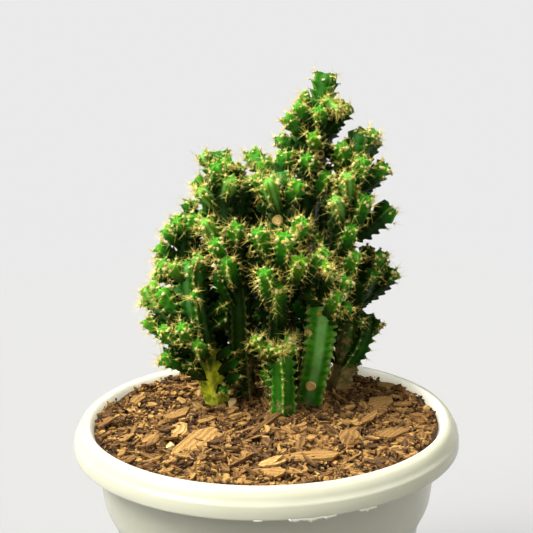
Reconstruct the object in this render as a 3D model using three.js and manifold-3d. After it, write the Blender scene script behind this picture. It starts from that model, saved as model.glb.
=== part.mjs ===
// Fairy castle cactus, a clump of rooted columns crowded with small offsets,
// growing in bark potting mix in a round cream plastic pot.
// Millimetres, +Z up, origin at the centre of the pot's flat underside.

import * as THREE from "three";
import { mergeVertices } from "three/addons/utils/BufferGeometryUtils.js";
import Module from "manifold-3d";

const wasm = await Module();
wasm.setup();

// ---------------------------------------------------------------- driving dimensions

const GAP = 0.3; // clearance left between touching pieces
const SEGMENTS = 32; // facets round the pot and the soil

const POT = {
  lipRadius: 65, // thin flared edge of the rolled rim
  lipHeight: 97,
  crestHeight: 105, // top of the rolled rim
  baseRadius: 43,
  floor: 2,
  drainHoles: 5,
  drainRadius: 4,
  drainCircle: 28,
};

const SOIL = {
  level: 101, // mean height of the surface
  relief: 1.1, // how far lumps rise and dip
  rings: [0.25, 0.5, 0.72, 0.9],
  chips: 16,
};

const ROOT = {
  depth: 24, // length of stem below the surface
  collar: 3.4, // and above it
  sides: 8,
  swell: 1.14, // root radius as a share of the rib radius at the foot
  taper: 0.7, // lower end's radius as a share of the upper end's
};

const BODY = {
  valley: 0.72, // furrow radius as a share of the rib radius
  notch: 0.9, // rib radius between two areoles
  bump: 1.05, // rib radius at an areole
  budValley: 0.64,
};

const CROWN = {
  height: 1.2, // from the widest ring to the tip, in rib radii
  drop: 0.22, // from the shoulder's points to the tip, in rib radii
  width: 0.7, // shoulder radius as a share of the rib radius
};

const BRANCH_SAG = 0.1; // how far a branch hangs below its straight line before it rises
const THREE_RIBBED = 3.05; // branches slimmer than this have three ribs, others four
const AREOLE_STEP = 3.4; // spacing along a rib

const OFFSET = {
  share: 0.01, // how many areoles carry a small offset
  length: [2.6, 4.6],
  girth: [1.6, 2.3],
  lowest: SOIL.level + 6,
};

const CLEAR = 0.45; // least space between two rooted stems

const SPINE = {
  share: 0.032, // how many bare areoles carry a modelled spine
  root: 0.3, // radius at the foot
  length: [3.6, 6.2],
  sunk: 1,
  sides: 3,
  everyTip: 4, // one branch tip in this many has a spine
};

const COLOUR = { pot: 0xeeeedd, soil: 0x8a6244, cactus: 0x2f6b1c };

// ---------------------------------------------------------------- the plant's table

// A rooted stem: its path from the soil up, rib radius at foot and tip, ribs, spacing of the
// modelled notches and turn of the first rib in degrees. A branch: the limb it grows from
// (0 is the column), how far along, its tip, its rib radius and, if it bends, a point passed.
const STEMS = [
  {
    name: "front_stem",
    path: [[5.9, 6.4, 101], [6.1, 5.2, 112], [5.4, 3.2, 125.4]],
    girth: [4.7, 4.3],
    ribs: 5,
    step: 4.6,
    turn: -75,
    branches: [
      [0, 0.8, [-3.8, -1.2, 130.6], 2.6],
      [0, 0.88, [0.7, -1, 127.6], 2.1],
      [0, 0.9, [9.6, -0.4, 127.4], 2.1],
      [0, 0.86, [8.8, 3.6, 130.6], 2.3],
    ],
  },
  {
    name: "right_stem",
    path: [[15.4, 17, 101], [17, 13.6, 112], [18.8, 9.4, 125], [20.6, 3.4, 144.6]],
    girth: [6.4, 7.2],
    ribs: 4,
    step: 5,
    turn: -50,
    branches: [
      [0, 0.93, [14, -4.4, 147.2], 3],
      [0, 0.95, [21.6, -3.4, 153], 3.2],
      [0, 0.9, [27.6, -2.4, 150.8], 3.2],
      [0, 0.82, [24, -7.8, 146.6], 2.9],
      [0, 0.76, [27.8, -4.6, 142.4], 2.7],
      [0, 0.62, [29, 2, 138], 2.8],
      [0, 0.96, [14.6, 5, 152.4], 3],
      [0, 0.5, [27, 10.6, 136.6], 3],
    ],
  },
  {
    name: "right_rear_stem",
    path: [[27, 33, 101], [29.8, 29, 111], [34.8, 25.4, 121], [37.4, 23.8, 132]],
    girth: [5, 4.6],
    ribs: 5,
    step: 5,
    turn: -30,
    branches: [
      [0, 0.3, [41.4, 15.4, 153.4], 4.4, [32, 22.6, 134]],
      [1, 0.66, [46.2, 14.6, 150], 3],
      [1, 0.92, [42.6, 20.4, 155.6], 3],
      [1, 0.66, [37.2, 8.4, 151.6], 3],
      [1, 0.5, [34, 11.4, 147.6], 3],
      [1, 0.88, [39.4, 9, 157.4], 2.8],
      [1, 0.8, [36.2, 17.4, 158.4], 3.2],
      [1, 0.6, [44, 24.2, 150.4], 3],
      [0, 0.76, [41.8, 21.4, 130], 2.4],
      [0, 0.5, [38.4, 34, 124.4], 3.2],
      [1, 0.4, [34.6, 29, 147.8], 3.5],
      [0, 0.2, [29.6, 38, 121.4], 3.5],
    ],
  },
  {
    name: "right_tall_stem",
    path: [
      [15.6, 30, 101], [21, 24.4, 125], [25.6, 15.6, 150],
      [28.4, 11.8, 168], [31, 10.4, 184], [34.2, 12, 198.6],
    ],
    girth: [4.8, 4.8],
    ribs: 4,
    step: 10,
    turn: 10,
    branches: [
      [0, 0.94, [37.6, 8.4, 199], 3],
      [0, 0.86, [25.8, 5, 195], 3.3],
      [0, 0.8, [32.6, 0.4, 190], 3.4],
      [0, 0.76, [27.4, -2, 185], 3.2],
      [0, 0.8, [41.6, 9, 187.6], 3.6],
      [0, 0.64, [43.8, 12, 173], 4.4],
      [0, 0.68, [23.6, -0.4, 177.4], 3.1],
      [0, 0.62, [34, 0.4, 178], 3.4],
      [0, 0.74, [25.6, 9.4, 190.4], 2.8],
      [0, 0.56, [29.4, 1.2, 168], 3.1],
      [0, 0.93, [34.6, 19, 199], 3.1],
      [0, 0.78, [40.6, 18.4, 185.4], 3.2],
      [0, 0.66, [36.6, 21, 176], 3.2],
      [0, 0.45, [31, 2, 158.4], 3.1],
      [0, 0.8, [29, 20, 189.4], 3.1],
      [0, 0.88, [38.8, 13.6, 196], 2.9],
    ],
  },
  {
    name: "tall_stem",
    path: [
      [4.4, 33.2, 101], [7.4, 29.6, 125], [12.2, 20.8, 150],
      [15.4, 15.2, 172], [18.4, 12.4, 196], [21.6, 12, 218],
    ],
    girth: [5.1, 4.2],
    ribs: 4,
    step: 7,
    turn: 24,
    branches: [
      [0, 0.9, [13, 12.2, 211], 2.8],
      [0, 0.86, [11.4, 7, 207.8], 3],
      [0, 0.82, [8.4, 9.8, 204.4], 3.9],
      [0, 0.76, [5.6, 18, 197], 3.6],
      [0, 0.86, [18.6, 3.8, 206.2], 3.1],
      [0, 0.89, [22.6, 5.8, 209.2], 2.8],
      [0, 0.83, [28.6, 13.8, 208], 3.9],
      [0, 0.8, [26, 18.8, 202.4], 3],
      [0, 0.8, [16.6, 2.4, 197.8], 3.1],
      [0, 0.72, [14.4, 2.8, 191], 3.3],
      [0, 0.9, [20.6, 20.4, 212], 3],
      [0, 0.82, [15.8, 22.4, 204.6], 3.3],
      [0, 0.72, [20.8, 24, 193], 3.4],
      [0, 0.62, [7.6, 25.6, 185.4], 3.5],
      [0, 0.6, [19.4, 24.4, 179], 3.3],
      [0, 0.64, [21.6, 4.4, 185.4], 3.2],
      [0, 0.4, [0.4, 24.4, 157.4], 3.7],
      [0, 0.7, [10.8, 22, 191], 3.4],
    ],
  },
  {
    name: "centre_stem",
    path: [[3.2, 21.6, 101], [5, 15.6, 122], [5.4, 7.4, 143], [6, 2.6, 164], [6, 4.4, 186]],
    girth: [4.7, 5],
    ribs: 4,
    step: 10,
    turn: -60,
    branches: [
      [0, 0.92, [0, 11.6, 189.2], 3.6],
      [0, 0.96, [7.2, 7, 192.4], 3.5],
      [0, 0.84, [1.6, -5.2, 184], 3.4],
      [0, 0.86, [11.4, -3.6, 183], 3.4],
      [0, 0.69, [12.6, -9.6, 171.4], 3.3],
      [0, 0.66, [-2.2, -11, 168.4], 3.4],
      [0, 0.86, [-2.8, 1.2, 185], 3.1],
      [0, 0.58, [6.8, -13.6, 167.4], 3.5],
      [0, 0.54, [11.8, -14, 159.8], 3.3],
      [0, 0.58, [19.8, -10.6, 161.4], 3.1],
      [0, 0.46, [0, -12.4, 155.6], 3.3],
      [0, 0.38, [4.6, -9.6, 150.4], 3.1],
      [0, 0.98, [-4, 18, 191.4], 4],
      [0, 0.3, [-0.8, 15.8, 138.4], 3],
    ],
  },
  {
    name: "middle_stem",
    path: [[-7.8, 23.4, 101], [-8.8, 15.8, 122], [-9, 8.6, 142], [-12.4, 6.6, 165], [-15.4, 8.2, 192.6]],
    girth: [4.6, 5.2],
    ribs: 5,
    step: 7,
    turn: -40,
    branches: [
      [0, 0.93, [-20.2, 6, 192], 3],
      [0, 0.93, [-11, 2.4, 190], 3.1],
      [0, 0.87, [-15.2, -1.8, 188.8], 3.2],
      [0, 0.84, [-10, -3.4, 184.6], 3],
      [0, 0.87, [-7, 8, 188], 3.1],
      [0, 0.84, [-22.8, 8.4, 183.4], 3.2],
      [0, 0.8, [-20.8, 1, 180.6], 3.1],
      [0, 0.66, [-19.4, -3.6, 171], 3.3],
      [0, 0.66, [-8.8, -4.4, 169.4], 3.1],
      [0, 0.58, [-16, -6.2, 164.8], 3.3],
      [0, 0.5, [-12.2, -7, 158.6], 3.1],
      [0, 0.9, [-16.8, 16, 191.6], 3.1],
      [0, 0.8, [-10.4, 16.8, 183], 3.3],
      [0, 0.26, [-15.2, 14.6, 139.4], 3.2],
      [0, 0.42, [-3.4, 16.4, 153.6], 3.3],
      [0, 0.42, [-15.8, 1.2, 152.4], 2.9],
          ],
  },
  {
    name: "left_stem",
    path: [[-17.6, 18.2, 101], [-20, 15.2, 113], [-22.6, 10.6, 128], [-24.2, 6.2, 142], [-24.8, 3.6, 156]],
    girth: [4.9, 5.2],
    ribs: 5,
    step: 6,
    turn: -62,
    branches: [
      [0, 0.6, [-36.2, 7.2, 145.4], 3.6],
      [0, 0.48, [-40.8, 12.6, 146.4], 4.2],
      [0, 0.4, [-41.6, 11, 135], 3.6],
      [0, 0.42, [-35.8, 5.4, 132.6], 3.3],
      [0, 0.27, [-35.6, 9.4, 122.8], 3.5],
      [0, 0.44, [-28.4, 0, 134.8], 3.2],
      [0, 0.36, [-23, 0.4, 128.8], 3],
      [0, 0.2, [-27, 8, 120], 3],
      [0, 0.94, [-21.4, -1.4, 159], 2.6],
      [0, 0.86, [-30.8, 1, 156], 3],
      [0, 0.34, [-37.6, 17.6, 133], 3.4],
      [0, 0.12, [-14.2, 11.2, 109], 2.4],
      [0, 0.19, [-31, 15.6, 119.6], 3.3],
    ],
  },
  {
    name: "left_rear_stem",
    path: [[-16, 33, 101], [-19.2, 28, 122], [-24, 20.6, 143], [-26.8, 16.2, 160], [-25.4, 13.4, 171.6]],
    girth: [5.8, 5],
    ribs: 4,
    step: 10,
    turn: 15,
    branches: [
      [0, 0.68, [-36, 11, 154.4], 3.3],
      [0, 0.74, [-37, 15.4, 160], 3.5],
      [0, 0.84, [-33.8, 11.8, 166.4], 3.4],
      [0, 0.9, [-29.6, 7.6, 170], 3.3],
      [0, 0.96, [-25.2, 16, 175.6], 3.2],
      [0, 0.88, [-22.8, 5.8, 171.4], 3],
      [0, 0.62, [-37.4, 23, 154.4], 3.4],
      [0, 0.8, [-33, 23, 166.4], 3.3],
      [0, 0.44, [-35, 27, 142], 3.6],
      [0, 0.28, [-32.6, 29.4, 128.6], 3.4],
      [0, 0.56, [-25, 32, 151], 3.4],
      [0, 0.84, [-22, 24.6, 170], 3.3],
      [0, 0.3, [-16.4, 24.4, 142], 3.6],
      [0, 0.56, [-19.4, 14.2, 162.6], 3.2],
    ],
  },
  {
    name: "rear_stem",
    path: [[-5.4, 45.2, 101], [-5.6, 43, 122], [-8.8, 37.6, 144], [-9.4, 29.4, 166], [-6, 25.4, 183]],
    girth: [6.6, 5],
    ribs: 4,
    step: 10,
    turn: 50,
    branches: [
      [0, 0.32, [-17, 48.4, 139.4], 3.6],
      [0, 0.26, [-2, 53, 135], 3.5],
      [0, 0.46, [-2.6, 49, 151.6], 3.6],
      [0, 0.5, [-19.4, 43, 153.8], 3.4],
      [0, 0.66, [-17.6, 35, 167.4], 3.4],
      [0, 0.64, [-6.6, 41, 167], 3.4],
      [0, 0.8, [-14.6, 26, 180], 3.2],
      [0, 0.8, [-2, 35, 179.4], 3.3],
      [0, 0.16, [-15.6, 47.4, 123], 3.3],
      [0, 0.2, [-1.8, 29, 131], 3.4],
      [0, 0.62, [-0.4, 32, 178], 3.6],
      [0, 0.56, [2.4, 32, 168.6], 3.6],
    ],
  },
  {
    name: "right_back_stem",
    path: [[18.8, 42.8, 101], [20, 46.4, 118], [21.4, 43.6, 138], [22, 36.6, 158], [21, 33, 173]],
    girth: [6.4, 5.8],
    ribs: 4,
    step: 10,
    turn: 5,
    branches: [
      [0, 0.24, [30.4, 52, 130], 3.5],
      [0, 0.3, [14, 56, 134], 3.5],
      [0, 0.5, [32.4, 43.6, 149.4], 3.5],
      [0, 0.5, [14.6, 50, 150], 3.4],
      [0, 0.7, [30.8, 35.6, 163], 3.4],
      [0, 0.72, [12.4, 40.4, 171], 3.3],
      [0, 0.86, [25.6, 30.2, 179.6], 3.2],
      [0, 0.9, [14.4, 32, 178.2], 3.1],
      [0, 0.12, [12.2, 50.4, 123], 3.6],
      [0, 0.4, [32, 37.6, 133.4], 3.3],
    ],
  },
];

// ---------------------------------------------------------------- small helpers

// A repeatable random sequence of numbers at least 0 and under 1.
function seeded(seed) {
  let state = seed >>> 0;
  const draw = () => {
    state = (Math.imul(state, 1664525) + 1013904223) >>> 0;
    return state / 4294967296;
  };
  for (let i = 0; i < 4; i += 1) {
    draw();
  }
  return draw;
}

const mix = (a, b, t) => a + (b - a) * t;

const vector = ([x, y, z]) => new THREE.Vector3(x, y, z);

// A closed mesh whose shared vertices are merged, as a solid for joining and cutting.
function solidOf(geometry) {
  const bare = geometry.clone();
  bare.deleteAttribute("normal");
  bare.deleteAttribute("uv");
  const merged = mergeVertices(bare, 1e-4);
  return new wasm.Manifold(
    new wasm.Mesh({
      numProp: 3,
      vertProperties: new Float32Array(merged.attributes.position.array),
      triVerts: new Uint32Array(merged.index.array),
    }),
  );
}

// The largest shell of a joined solid: pockets sealed by the join are filled and loose
// scraps are dropped.
function mainShell(positions, triangles) {
  const parent = Array.from({ length: positions.length / 3 }, (_, i) => i);
  const find = (i) => {
    let root = i;
    while (parent[root] !== root) {
      parent[root] = parent[parent[root]];
      root = parent[root];
    }
    return root;
  };
  for (let t = 0; t < triangles.length; t += 3) {
    parent[find(triangles[t + 1])] = find(triangles[t]);
    parent[find(triangles[t + 2])] = find(triangles[t]);
  }
  const size = new Map();
  for (let t = 0; t < triangles.length; t += 3) {
    const root = find(triangles[t]);
    size.set(root, (size.get(root) ?? 0) + 1);
  }
  const [largest] = [...size.entries()].sort((a, b) => b[1] - a[1])[0];
  const kept = [];
  for (let t = 0; t < triangles.length; t += 3) {
    if (find(triangles[t]) === largest) {
      kept.push(triangles[t], triangles[t + 1], triangles[t + 2]);
    }
  }
  return kept;
}

function geometryOf(solid) {
  const mesh = solid.getMesh();
  const geometry = new THREE.BufferGeometry();
  geometry.setAttribute("position", new THREE.BufferAttribute(mesh.vertProperties, 3));
  geometry.setIndex(mainShell(mesh.vertProperties, mesh.triVerts));
  return geometry;
}

// A closed skin over rings of points that run anticlockwise seen from the tip. Each end
// closes on a point where one is given, and flat where it isn't.
function skin(rings, tip, root) {
  const sides = rings[0].length;
  const positions = rings.flat().flatMap((p) => [p.x, p.y, p.z]);
  const last = (rings.length - 1) * sides;
  const faces = [];
  const close = (start, point, turn) => {
    const fan = (a, b, c) => faces.push(a, ...(turn ? [c, b] : [b, c]));
    if (!point) {
      for (let k = 1; k < sides - 1; k += 1) {
        fan(start, start + k, start + k + 1);
      }
      return;
    }
    const centre = positions.length / 3;
    positions.push(point.x, point.y, point.z);
    for (let k = 0; k < sides; k += 1) {
      fan(centre, start + k, start + ((k + 1) % sides));
    }
  };
  close(0, root, true);
  close(last, tip, false);
  for (let i = 0; i < last; i += sides) {
    for (let k = 0; k < sides; k += 1) {
      const a = i + k;
      const b = i + ((k + 1) % sides);
      faces.push(a, b, b + sides, a, b + sides, a + sides);
    }
  }
  const geometry = new THREE.BufferGeometry();
  geometry.setAttribute("position", new THREE.Float32BufferAttribute(positions, 3));
  geometry.setIndex(faces);
  return geometry;
}

// ---------------------------------------------------------------- a limb and its ribs

const SAMPLES = 48;
const REACH_STEPS = 5;

// The axis that a direction leans to least.
function leastAxis(direction) {
  const sizes = direction.toArray().map(Math.abs);
  const least = sizes.indexOf(Math.min(...sizes));
  return new THREE.Vector3(...[0, 1, 2].map((i) => (i === least ? 1 : 0)));
}

// A smooth path with its length, and a frame at any distance along it whose side and up
// stay square to the path.
class Limb {
  constructor(points, girth, ribs, turn, isColumn = false) {
    this.isColumn = isColumn;
    this.girth = girth;
    this.ribs = ribs;
    this.turn = turn;
    const curve = new THREE.CatmullRomCurve3(points, false, "catmullrom", 0.5);
    this.points = Array.from({ length: SAMPLES + 1 }, (_, i) => curve.getPoint(i / SAMPLES));
    this.distance = [0];
    for (let i = 1; i <= SAMPLES; i += 1) {
      this.distance.push(this.distance[i - 1] + this.points[i].distanceTo(this.points[i - 1]));
    }
    this.length = this.distance[SAMPLES];
    const run = points.at(-1).clone().sub(points[0]);
    this.reference = leastAxis(run);
  }

  at(s) {
    const clamped = Math.min(Math.max(s, 0), this.length);
    let i = 1;
    while (i < SAMPLES && this.distance[i] < clamped) {
      i += 1;
    }
    const span = this.distance[i] - this.distance[i - 1];
    const t = (clamped - this.distance[i - 1]) / span;
    const centre = this.points[i - 1].clone().lerp(this.points[i], t);
    const along = this.points[i].clone().sub(this.points[i - 1]).normalize();
    const side = this.reference.clone().cross(along).normalize();
    const up = along.clone().cross(side);
    return { centre, along, side, up };
  }

  // Rib radius, closing in over the crown at the tip.
  radius(s) {
    const plain = mix(this.girth[0], this.girth[1], s / this.length);
    const crown = Math.min((this.length - s) / (CROWN.height * plain), 1);
    return plain * mix(CROWN.width, 1, crown);
  }

  outward(frame, angle) {
    return frame.side.clone().multiplyScalar(Math.cos(angle)).addScaledVector(frame.up, Math.sin(angle));
  }

  ribAngle(rib) {
    return this.turn + (2 * Math.PI * rib) / this.ribs;
  }

  // One ring of the ribbed section: rib, furrow, rib, furrow.
  ring(s, ribScale, valley) {
    const frame = this.at(s);
    const radius = mix(this.girth[0], this.girth[1], s / this.length);
    return Array.from({ length: 2 * this.ribs }, (_, k) => {
      const onRib = k % 2 === 0;
      const reach = radius * (onRib ? ribScale : valley);
      return frame.centre.clone().addScaledVector(this.outward(frame, this.ribAngle(k / 2)), reach);
    });
  }

  // The crown's shoulder: rib points standing almost as high as the tip.
  shoulder(valley) {
    const { centre, along } = this.at(this.length);
    const ring = this.ring(this.length - this.girth[1], CROWN.width, valley * CROWN.width);
    const below = this.at(this.length - this.girth[1]).centre;
    const lift = centre.clone().sub(below).addScaledVector(along, -CROWN.drop * this.girth[1]);
    return ring.map((point) => point.add(lift));
  }

  // A column's ribbed body, notched between areoles, with a low pointed crown.
  column(step) {
    const count = Math.max(Math.round(this.widest / step), 1);
    const rings = [];
    for (let i = 0; i <= count; i += 1) {
      const bump = (count - i) % 2 === 0;
      rings.push(this.ring((this.widest * i) / count, bump ? BODY.bump : BODY.notch, BODY.valley));
    }
    rings.push(this.shoulder(BODY.valley));
    return skin(rings, this.at(this.length - 0.05 * this.girth[1]).centre);
  }

  get widest() {
    return this.length - CROWN.height * this.girth[1];
  }

  // Outermost radius at a share of the length.
  reach(share) {
    const neck = this.isColumn ? 1 : Math.min((share * this.length) / this.widest, 1);
    return BODY.bump * mix(this.girth[0], this.girth[1], share) * neck;
  }

  // A branch or small offset: a bud on a neck that narrows to its sunk root.
  bud() {
    const { widest } = this;
    const rings = [this.ring(widest, BODY.bump, BODY.budValley), this.shoulder(BODY.budValley)];
    if (widest > 6 * this.girth[1]) {
      rings.unshift(this.ring(widest * 0.5, 0.95, BODY.budValley));
    }
    return skin(rings, this.at(this.length - 0.1 * this.girth[1]).centre, this.points[0]);
  }

  // The areoles: rib by rib, staggered, each with its own fixed number of draws.
  areoles(draw) {
    const found = [];
    for (let rib = 0; rib < this.ribs; rib += 1) {
      const first = AREOLE_STEP * (0.4 + 0.5 * (rib % 2));
      for (let s = first; s < this.length - 0.5; s += AREOLE_STEP) {
        const frame = this.at(s);
        const out = this.outward(frame, this.ribAngle(rib));
        const foot = frame.centre.clone().addScaledVector(out, this.radius(s));
        const draws = Array.from({ length: 6 }, () => draw());
        found.push({ limb: this, frame, out, foot, share: s / this.length, draws });
      }
    }
    return found;
  }
}

// ---------------------------------------------------------------- growing the plant

const UP = new THREE.Vector3(0, 0, 1);

const radians = THREE.MathUtils.degToRad;

// The limbs of a rooted stem: its column and the branches of the table.
function limbsOf(stem, order) {
  const trunk = new Limb(stem.path.map(vector), stem.girth, stem.ribs, radians(stem.turn), true);
  const limbs = [trunk];
  stem.branches.forEach(([from, share, tip, girth, via], k) => {
    const centre = limbs[from].at(share * limbs[from].length).centre;
    const end = vector(tip);
    const start = centre.clone().lerp(end, -0.1);
    const middle = via ? vector(via) : start.clone().lerp(end, 0.5);
    middle.z -= via ? 0 : BRANCH_SAG * start.distanceTo(end);
    const turn = radians((order * 67 + k * 41) % 90);
    const ribs = girth < THREE_RIBBED ? 3 : 4;
    limbs.push(new Limb([start, middle, end], [girth * 0.9, girth], ribs, turn));
  });
  return limbs;
}

// Straight reaches with a thickness, kept to test that two rooted stems stay apart.
class Reaches {
  constructor() {
    this.list = [];
  }

  add(owner, from, to, radius) {
    this.list.push({ owner, line: new THREE.Line3(from.clone(), to.clone()), radius });
  }

  // True when a reach keeps its distance from every other stem's.
  clear(owner, from, to, radius) {
    const line = new THREE.Line3(from, to);
    return this.list.every((other) => {
      if (other.owner === owner) {
        return true;
      }
      const near = Math.sqrt(line.distanceSqToLine3(other.line));
      return near > radius + other.radius + CLEAR;
    });
  }
}

// The small offset of an areole, leaning out and up from a root inside the limb.
function offsetAt({ limb, frame, out, foot, draws }) {
  const [, length, girth, lean, , turn] = draws;
  const axis = out.clone().addScaledVector(UP, mix(0.1, 0.7, lean));
  axis.addScaledVector(frame.along, 0.25).normalize();
  const radius = mix(...OFFSET.girth, girth);
  const root = foot.clone().addScaledVector(out, -0.55 * limb.girth[1]);
  const tip = foot.clone().addScaledVector(axis, mix(...OFFSET.length, length));
  const middle = root.clone().lerp(tip, 0.5);
  return new Limb([root, middle, tip], [radius * 0.8, radius], turn < 0.5 ? 3 : 4, turn * Math.PI);
}

// A slim spine with its foot sunk into the rib.
function spineBody(from, to) {
  const along = to.clone().sub(from).normalize();
  const side = new THREE.Vector3(-along.y, along.x, 0.01).normalize();
  const up = along.clone().cross(side);
  const ring = Array.from({ length: SPINE.sides }, (_, k) => {
    const angle = (2 * Math.PI * k) / SPINE.sides;
    const foot = from.clone().addScaledVector(side, SPINE.root * Math.cos(angle));
    return foot.addScaledVector(up, SPINE.root * Math.sin(angle));
  });
  return skin([ring], to);
}

// The plain round foot of a stem, tapering down into the soil.
function rootBody(stem, radius, inset) {
  const [x, y] = stem.path[0];
  const ring = (z, reach) =>
    Array.from({ length: ROOT.sides }, (_, k) => {
      const angle = (2 * Math.PI * k) / ROOT.sides;
      return new THREE.Vector3(x + reach * Math.cos(angle), y + reach * Math.sin(angle), z);
    });
  const bottom = SOIL.level - ROOT.depth - inset;
  return skin([ring(bottom, radius * ROOT.taper), ring(SOIL.level + ROOT.collar, radius)]);
}

// The areoles of a limb that carry an offset get one where it stays clear of other stems;
// the rest are returned as bare.
function addOffsets(plant, limb, draw, reaches) {
  const bare = [];
  for (const areole of limb.areoles(draw)) {
    if (areole.foot.z < OFFSET.lowest) {
      continue;
    }
    if (areole.draws[0] > OFFSET.share * mix(0.1, 1.3, areole.share)) {
      bare.push(areole);
      continue;
    }
    const offset = offsetAt(areole);
    const tip = offset.at(offset.length).centre;
    const middle = offset.at(offset.length * 0.6).centre;
    const radius = offset.reach(1);
    if (reaches.clear(plant.name, middle, tip, radius)) {
      reaches.add(plant.name, middle, tip, radius);
      plant.pieces.push(solidOf(offset.bud()));
    }
  }
  return bare;
}

function addSpine(plant, foot, axis, length, reaches) {
  const from = foot.clone().addScaledVector(axis, -SPINE.sunk);
  const to = foot.clone().addScaledVector(axis, length);
  if (reaches.clear(plant.name, from, to, SPINE.root)) {
    reaches.add(plant.name, from, to, SPINE.root);
    plant.pieces.push(solidOf(spineBody(from, to)));
  }
}

// Spines on some bare areoles and out at the tips.
function addSpines(plant, limb, bare, draw, reaches, atTip) {
  for (const { frame, out, foot, draws } of bare) {
    const [, , , lean, chance, length] = draws;
    if (chance < SPINE.share) {
      const axis = out.clone().addScaledVector(frame.along, mix(-0.4, 0.7, lean)).normalize();
      addSpine(plant, foot, axis, mix(...SPINE.length, length), reaches);
    }
  }
  if (atTip) {
    const { centre, along, side, up } = limb.at(limb.length);
    const angle = 2 * Math.PI * draw();
    const axis = along.clone().addScaledVector(side, 0.5 * Math.cos(angle));
    axis.addScaledVector(up, 0.5 * Math.sin(angle)).normalize();
    addSpine(plant, centre, axis, mix(...SPINE.length, draw()), reaches);
  }
}

// Every rooted stem with the bodies it is joined from: root, column, branches, offsets and
// spines. Offsets come before spines, so that neither crosses another stem.
function growPlant() {
  const reaches = new Reaches();
  const plants = STEMS.map((stem, order) => ({
    name: stem.name,
    limbs: limbsOf(stem, order),
    pieces: [solidOf(rootBody(stem, ROOT.swell * stem.girth[0], 0))],
    step: stem.step,
  }));
  for (const { name, limbs } of plants) {
    for (const limb of limbs) {
      for (let i = 0; i < REACH_STEPS; i += 1) {
        const from = limb.at((limb.length * i) / REACH_STEPS).centre;
        const to = limb.at((limb.length * (i + 1)) / REACH_STEPS).centre;
        reaches.add(name, from, to, limb.reach((i + 1) / REACH_STEPS));
      }
    }
  }
  const later = [];
  plants.forEach((plant, order) => {
    plant.limbs.forEach((limb, k) => {
      plant.pieces.push(solidOf(limb.isColumn ? limb.column(plant.step) : limb.bud()));
      const draw = seeded(1000 * order + 37 * k + 11);
      const bare = addOffsets(plant, limb, draw, reaches);
      later.push(() => addSpines(plant, limb, bare, draw, reaches, k % SPINE.everyTip === 0));
    });
  });
  later.forEach((add) => add());
  return plants;
}

// ---------------------------------------------------------------- the pot

// Outer wall up to the lip, over the rolled rim, and down the inner wall.
const POT_PROFILE = [
  [0, 0],
  [POT.baseRadius, 0],
  [POT.baseRadius + 1.4, 1.5],
  [51.9, 66],
  [53.4, 72],
  [55.8, 77.5],
  [57, 88],
  [59, 100.6],
  [63.2, 97.2],
  [POT.lipRadius, POT.lipHeight],
  [64.2, 100.6],
  [62.9, 103.6],
  [61, POT.crestHeight],
  [59.4, 104.2],
  [58.4, 101.5],
  [55.2, 87],
  [54, 78],
  [51.4, 71.4],
  [50.2, 65.8],
  [42.8, POT.floor],
  [0, POT.floor],
];

// Plain round column of unit height used to bore a hole.
function bore(radius, from, to, sides, x, y) {
  const cylinder = new THREE.CylinderGeometry(radius, radius, to - from, sides);
  cylinder.rotateX(Math.PI / 2);
  cylinder.translate(x, y, (from + to) / 2);
  return solidOf(cylinder);
}

function lathe(profile) {
  const points = profile.map(([r, z]) => new THREE.Vector2(r, z));
  const geometry = new THREE.LatheGeometry(points, SEGMENTS);
  geometry.rotateX(Math.PI / 2);
  return geometry;
}

function makePot() {
  let pot = solidOf(lathe(POT_PROFILE));
  for (let k = 0; k < POT.drainHoles; k += 1) {
    const angle = (2 * Math.PI * k) / POT.drainHoles;
    const x = POT.drainCircle * Math.cos(angle);
    const y = POT.drainCircle * Math.sin(angle);
    pot = pot.subtract(bore(POT.drainRadius, -1, POT.floor + 1, 10, x, y));
  }
  return geometryOf(pot);
}

// ---------------------------------------------------------------- the soil

// Height of the uneven surface: three crossed waves and a slight dish towards the rim.
function soilHeight(x, y) {
  const waves =
    Math.sin(0.21 * x + 0.6) * Math.cos(0.17 * y) +
    0.6 * Math.sin(0.37 * y - 0.29 * x) +
    0.35 * Math.cos(0.63 * x + 0.51 * y);
  return SOIL.level + 0.5 * SOIL.relief * waves;
}

// A flat bark chip, tilted, half sunk in the surface.
function chip(draw) {
  const size = mix(3.5, 10, draw() ** 1.6);
  const box = new THREE.BoxGeometry(size, size * mix(0.3, 0.6, draw()), mix(1, 1.8, draw()));
  box.rotateX(mix(-0.25, 0.25, draw()));
  box.rotateY(mix(-0.3, 0.3, draw()));
  box.rotateZ(Math.PI * draw());
  const radius = 52 * Math.sqrt(draw());
  const angle = 2 * Math.PI * draw();
  const x = radius * Math.cos(angle);
  const y = radius * Math.sin(angle);
  box.translate(x, y, soilHeight(x, y) + 0.3);
  const room = STEMS.every(({ path }) => Math.hypot(path[0][0] - x, path[0][1] - y) > size / 2 + 7.5);
  return room ? box : null;
}

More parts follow.
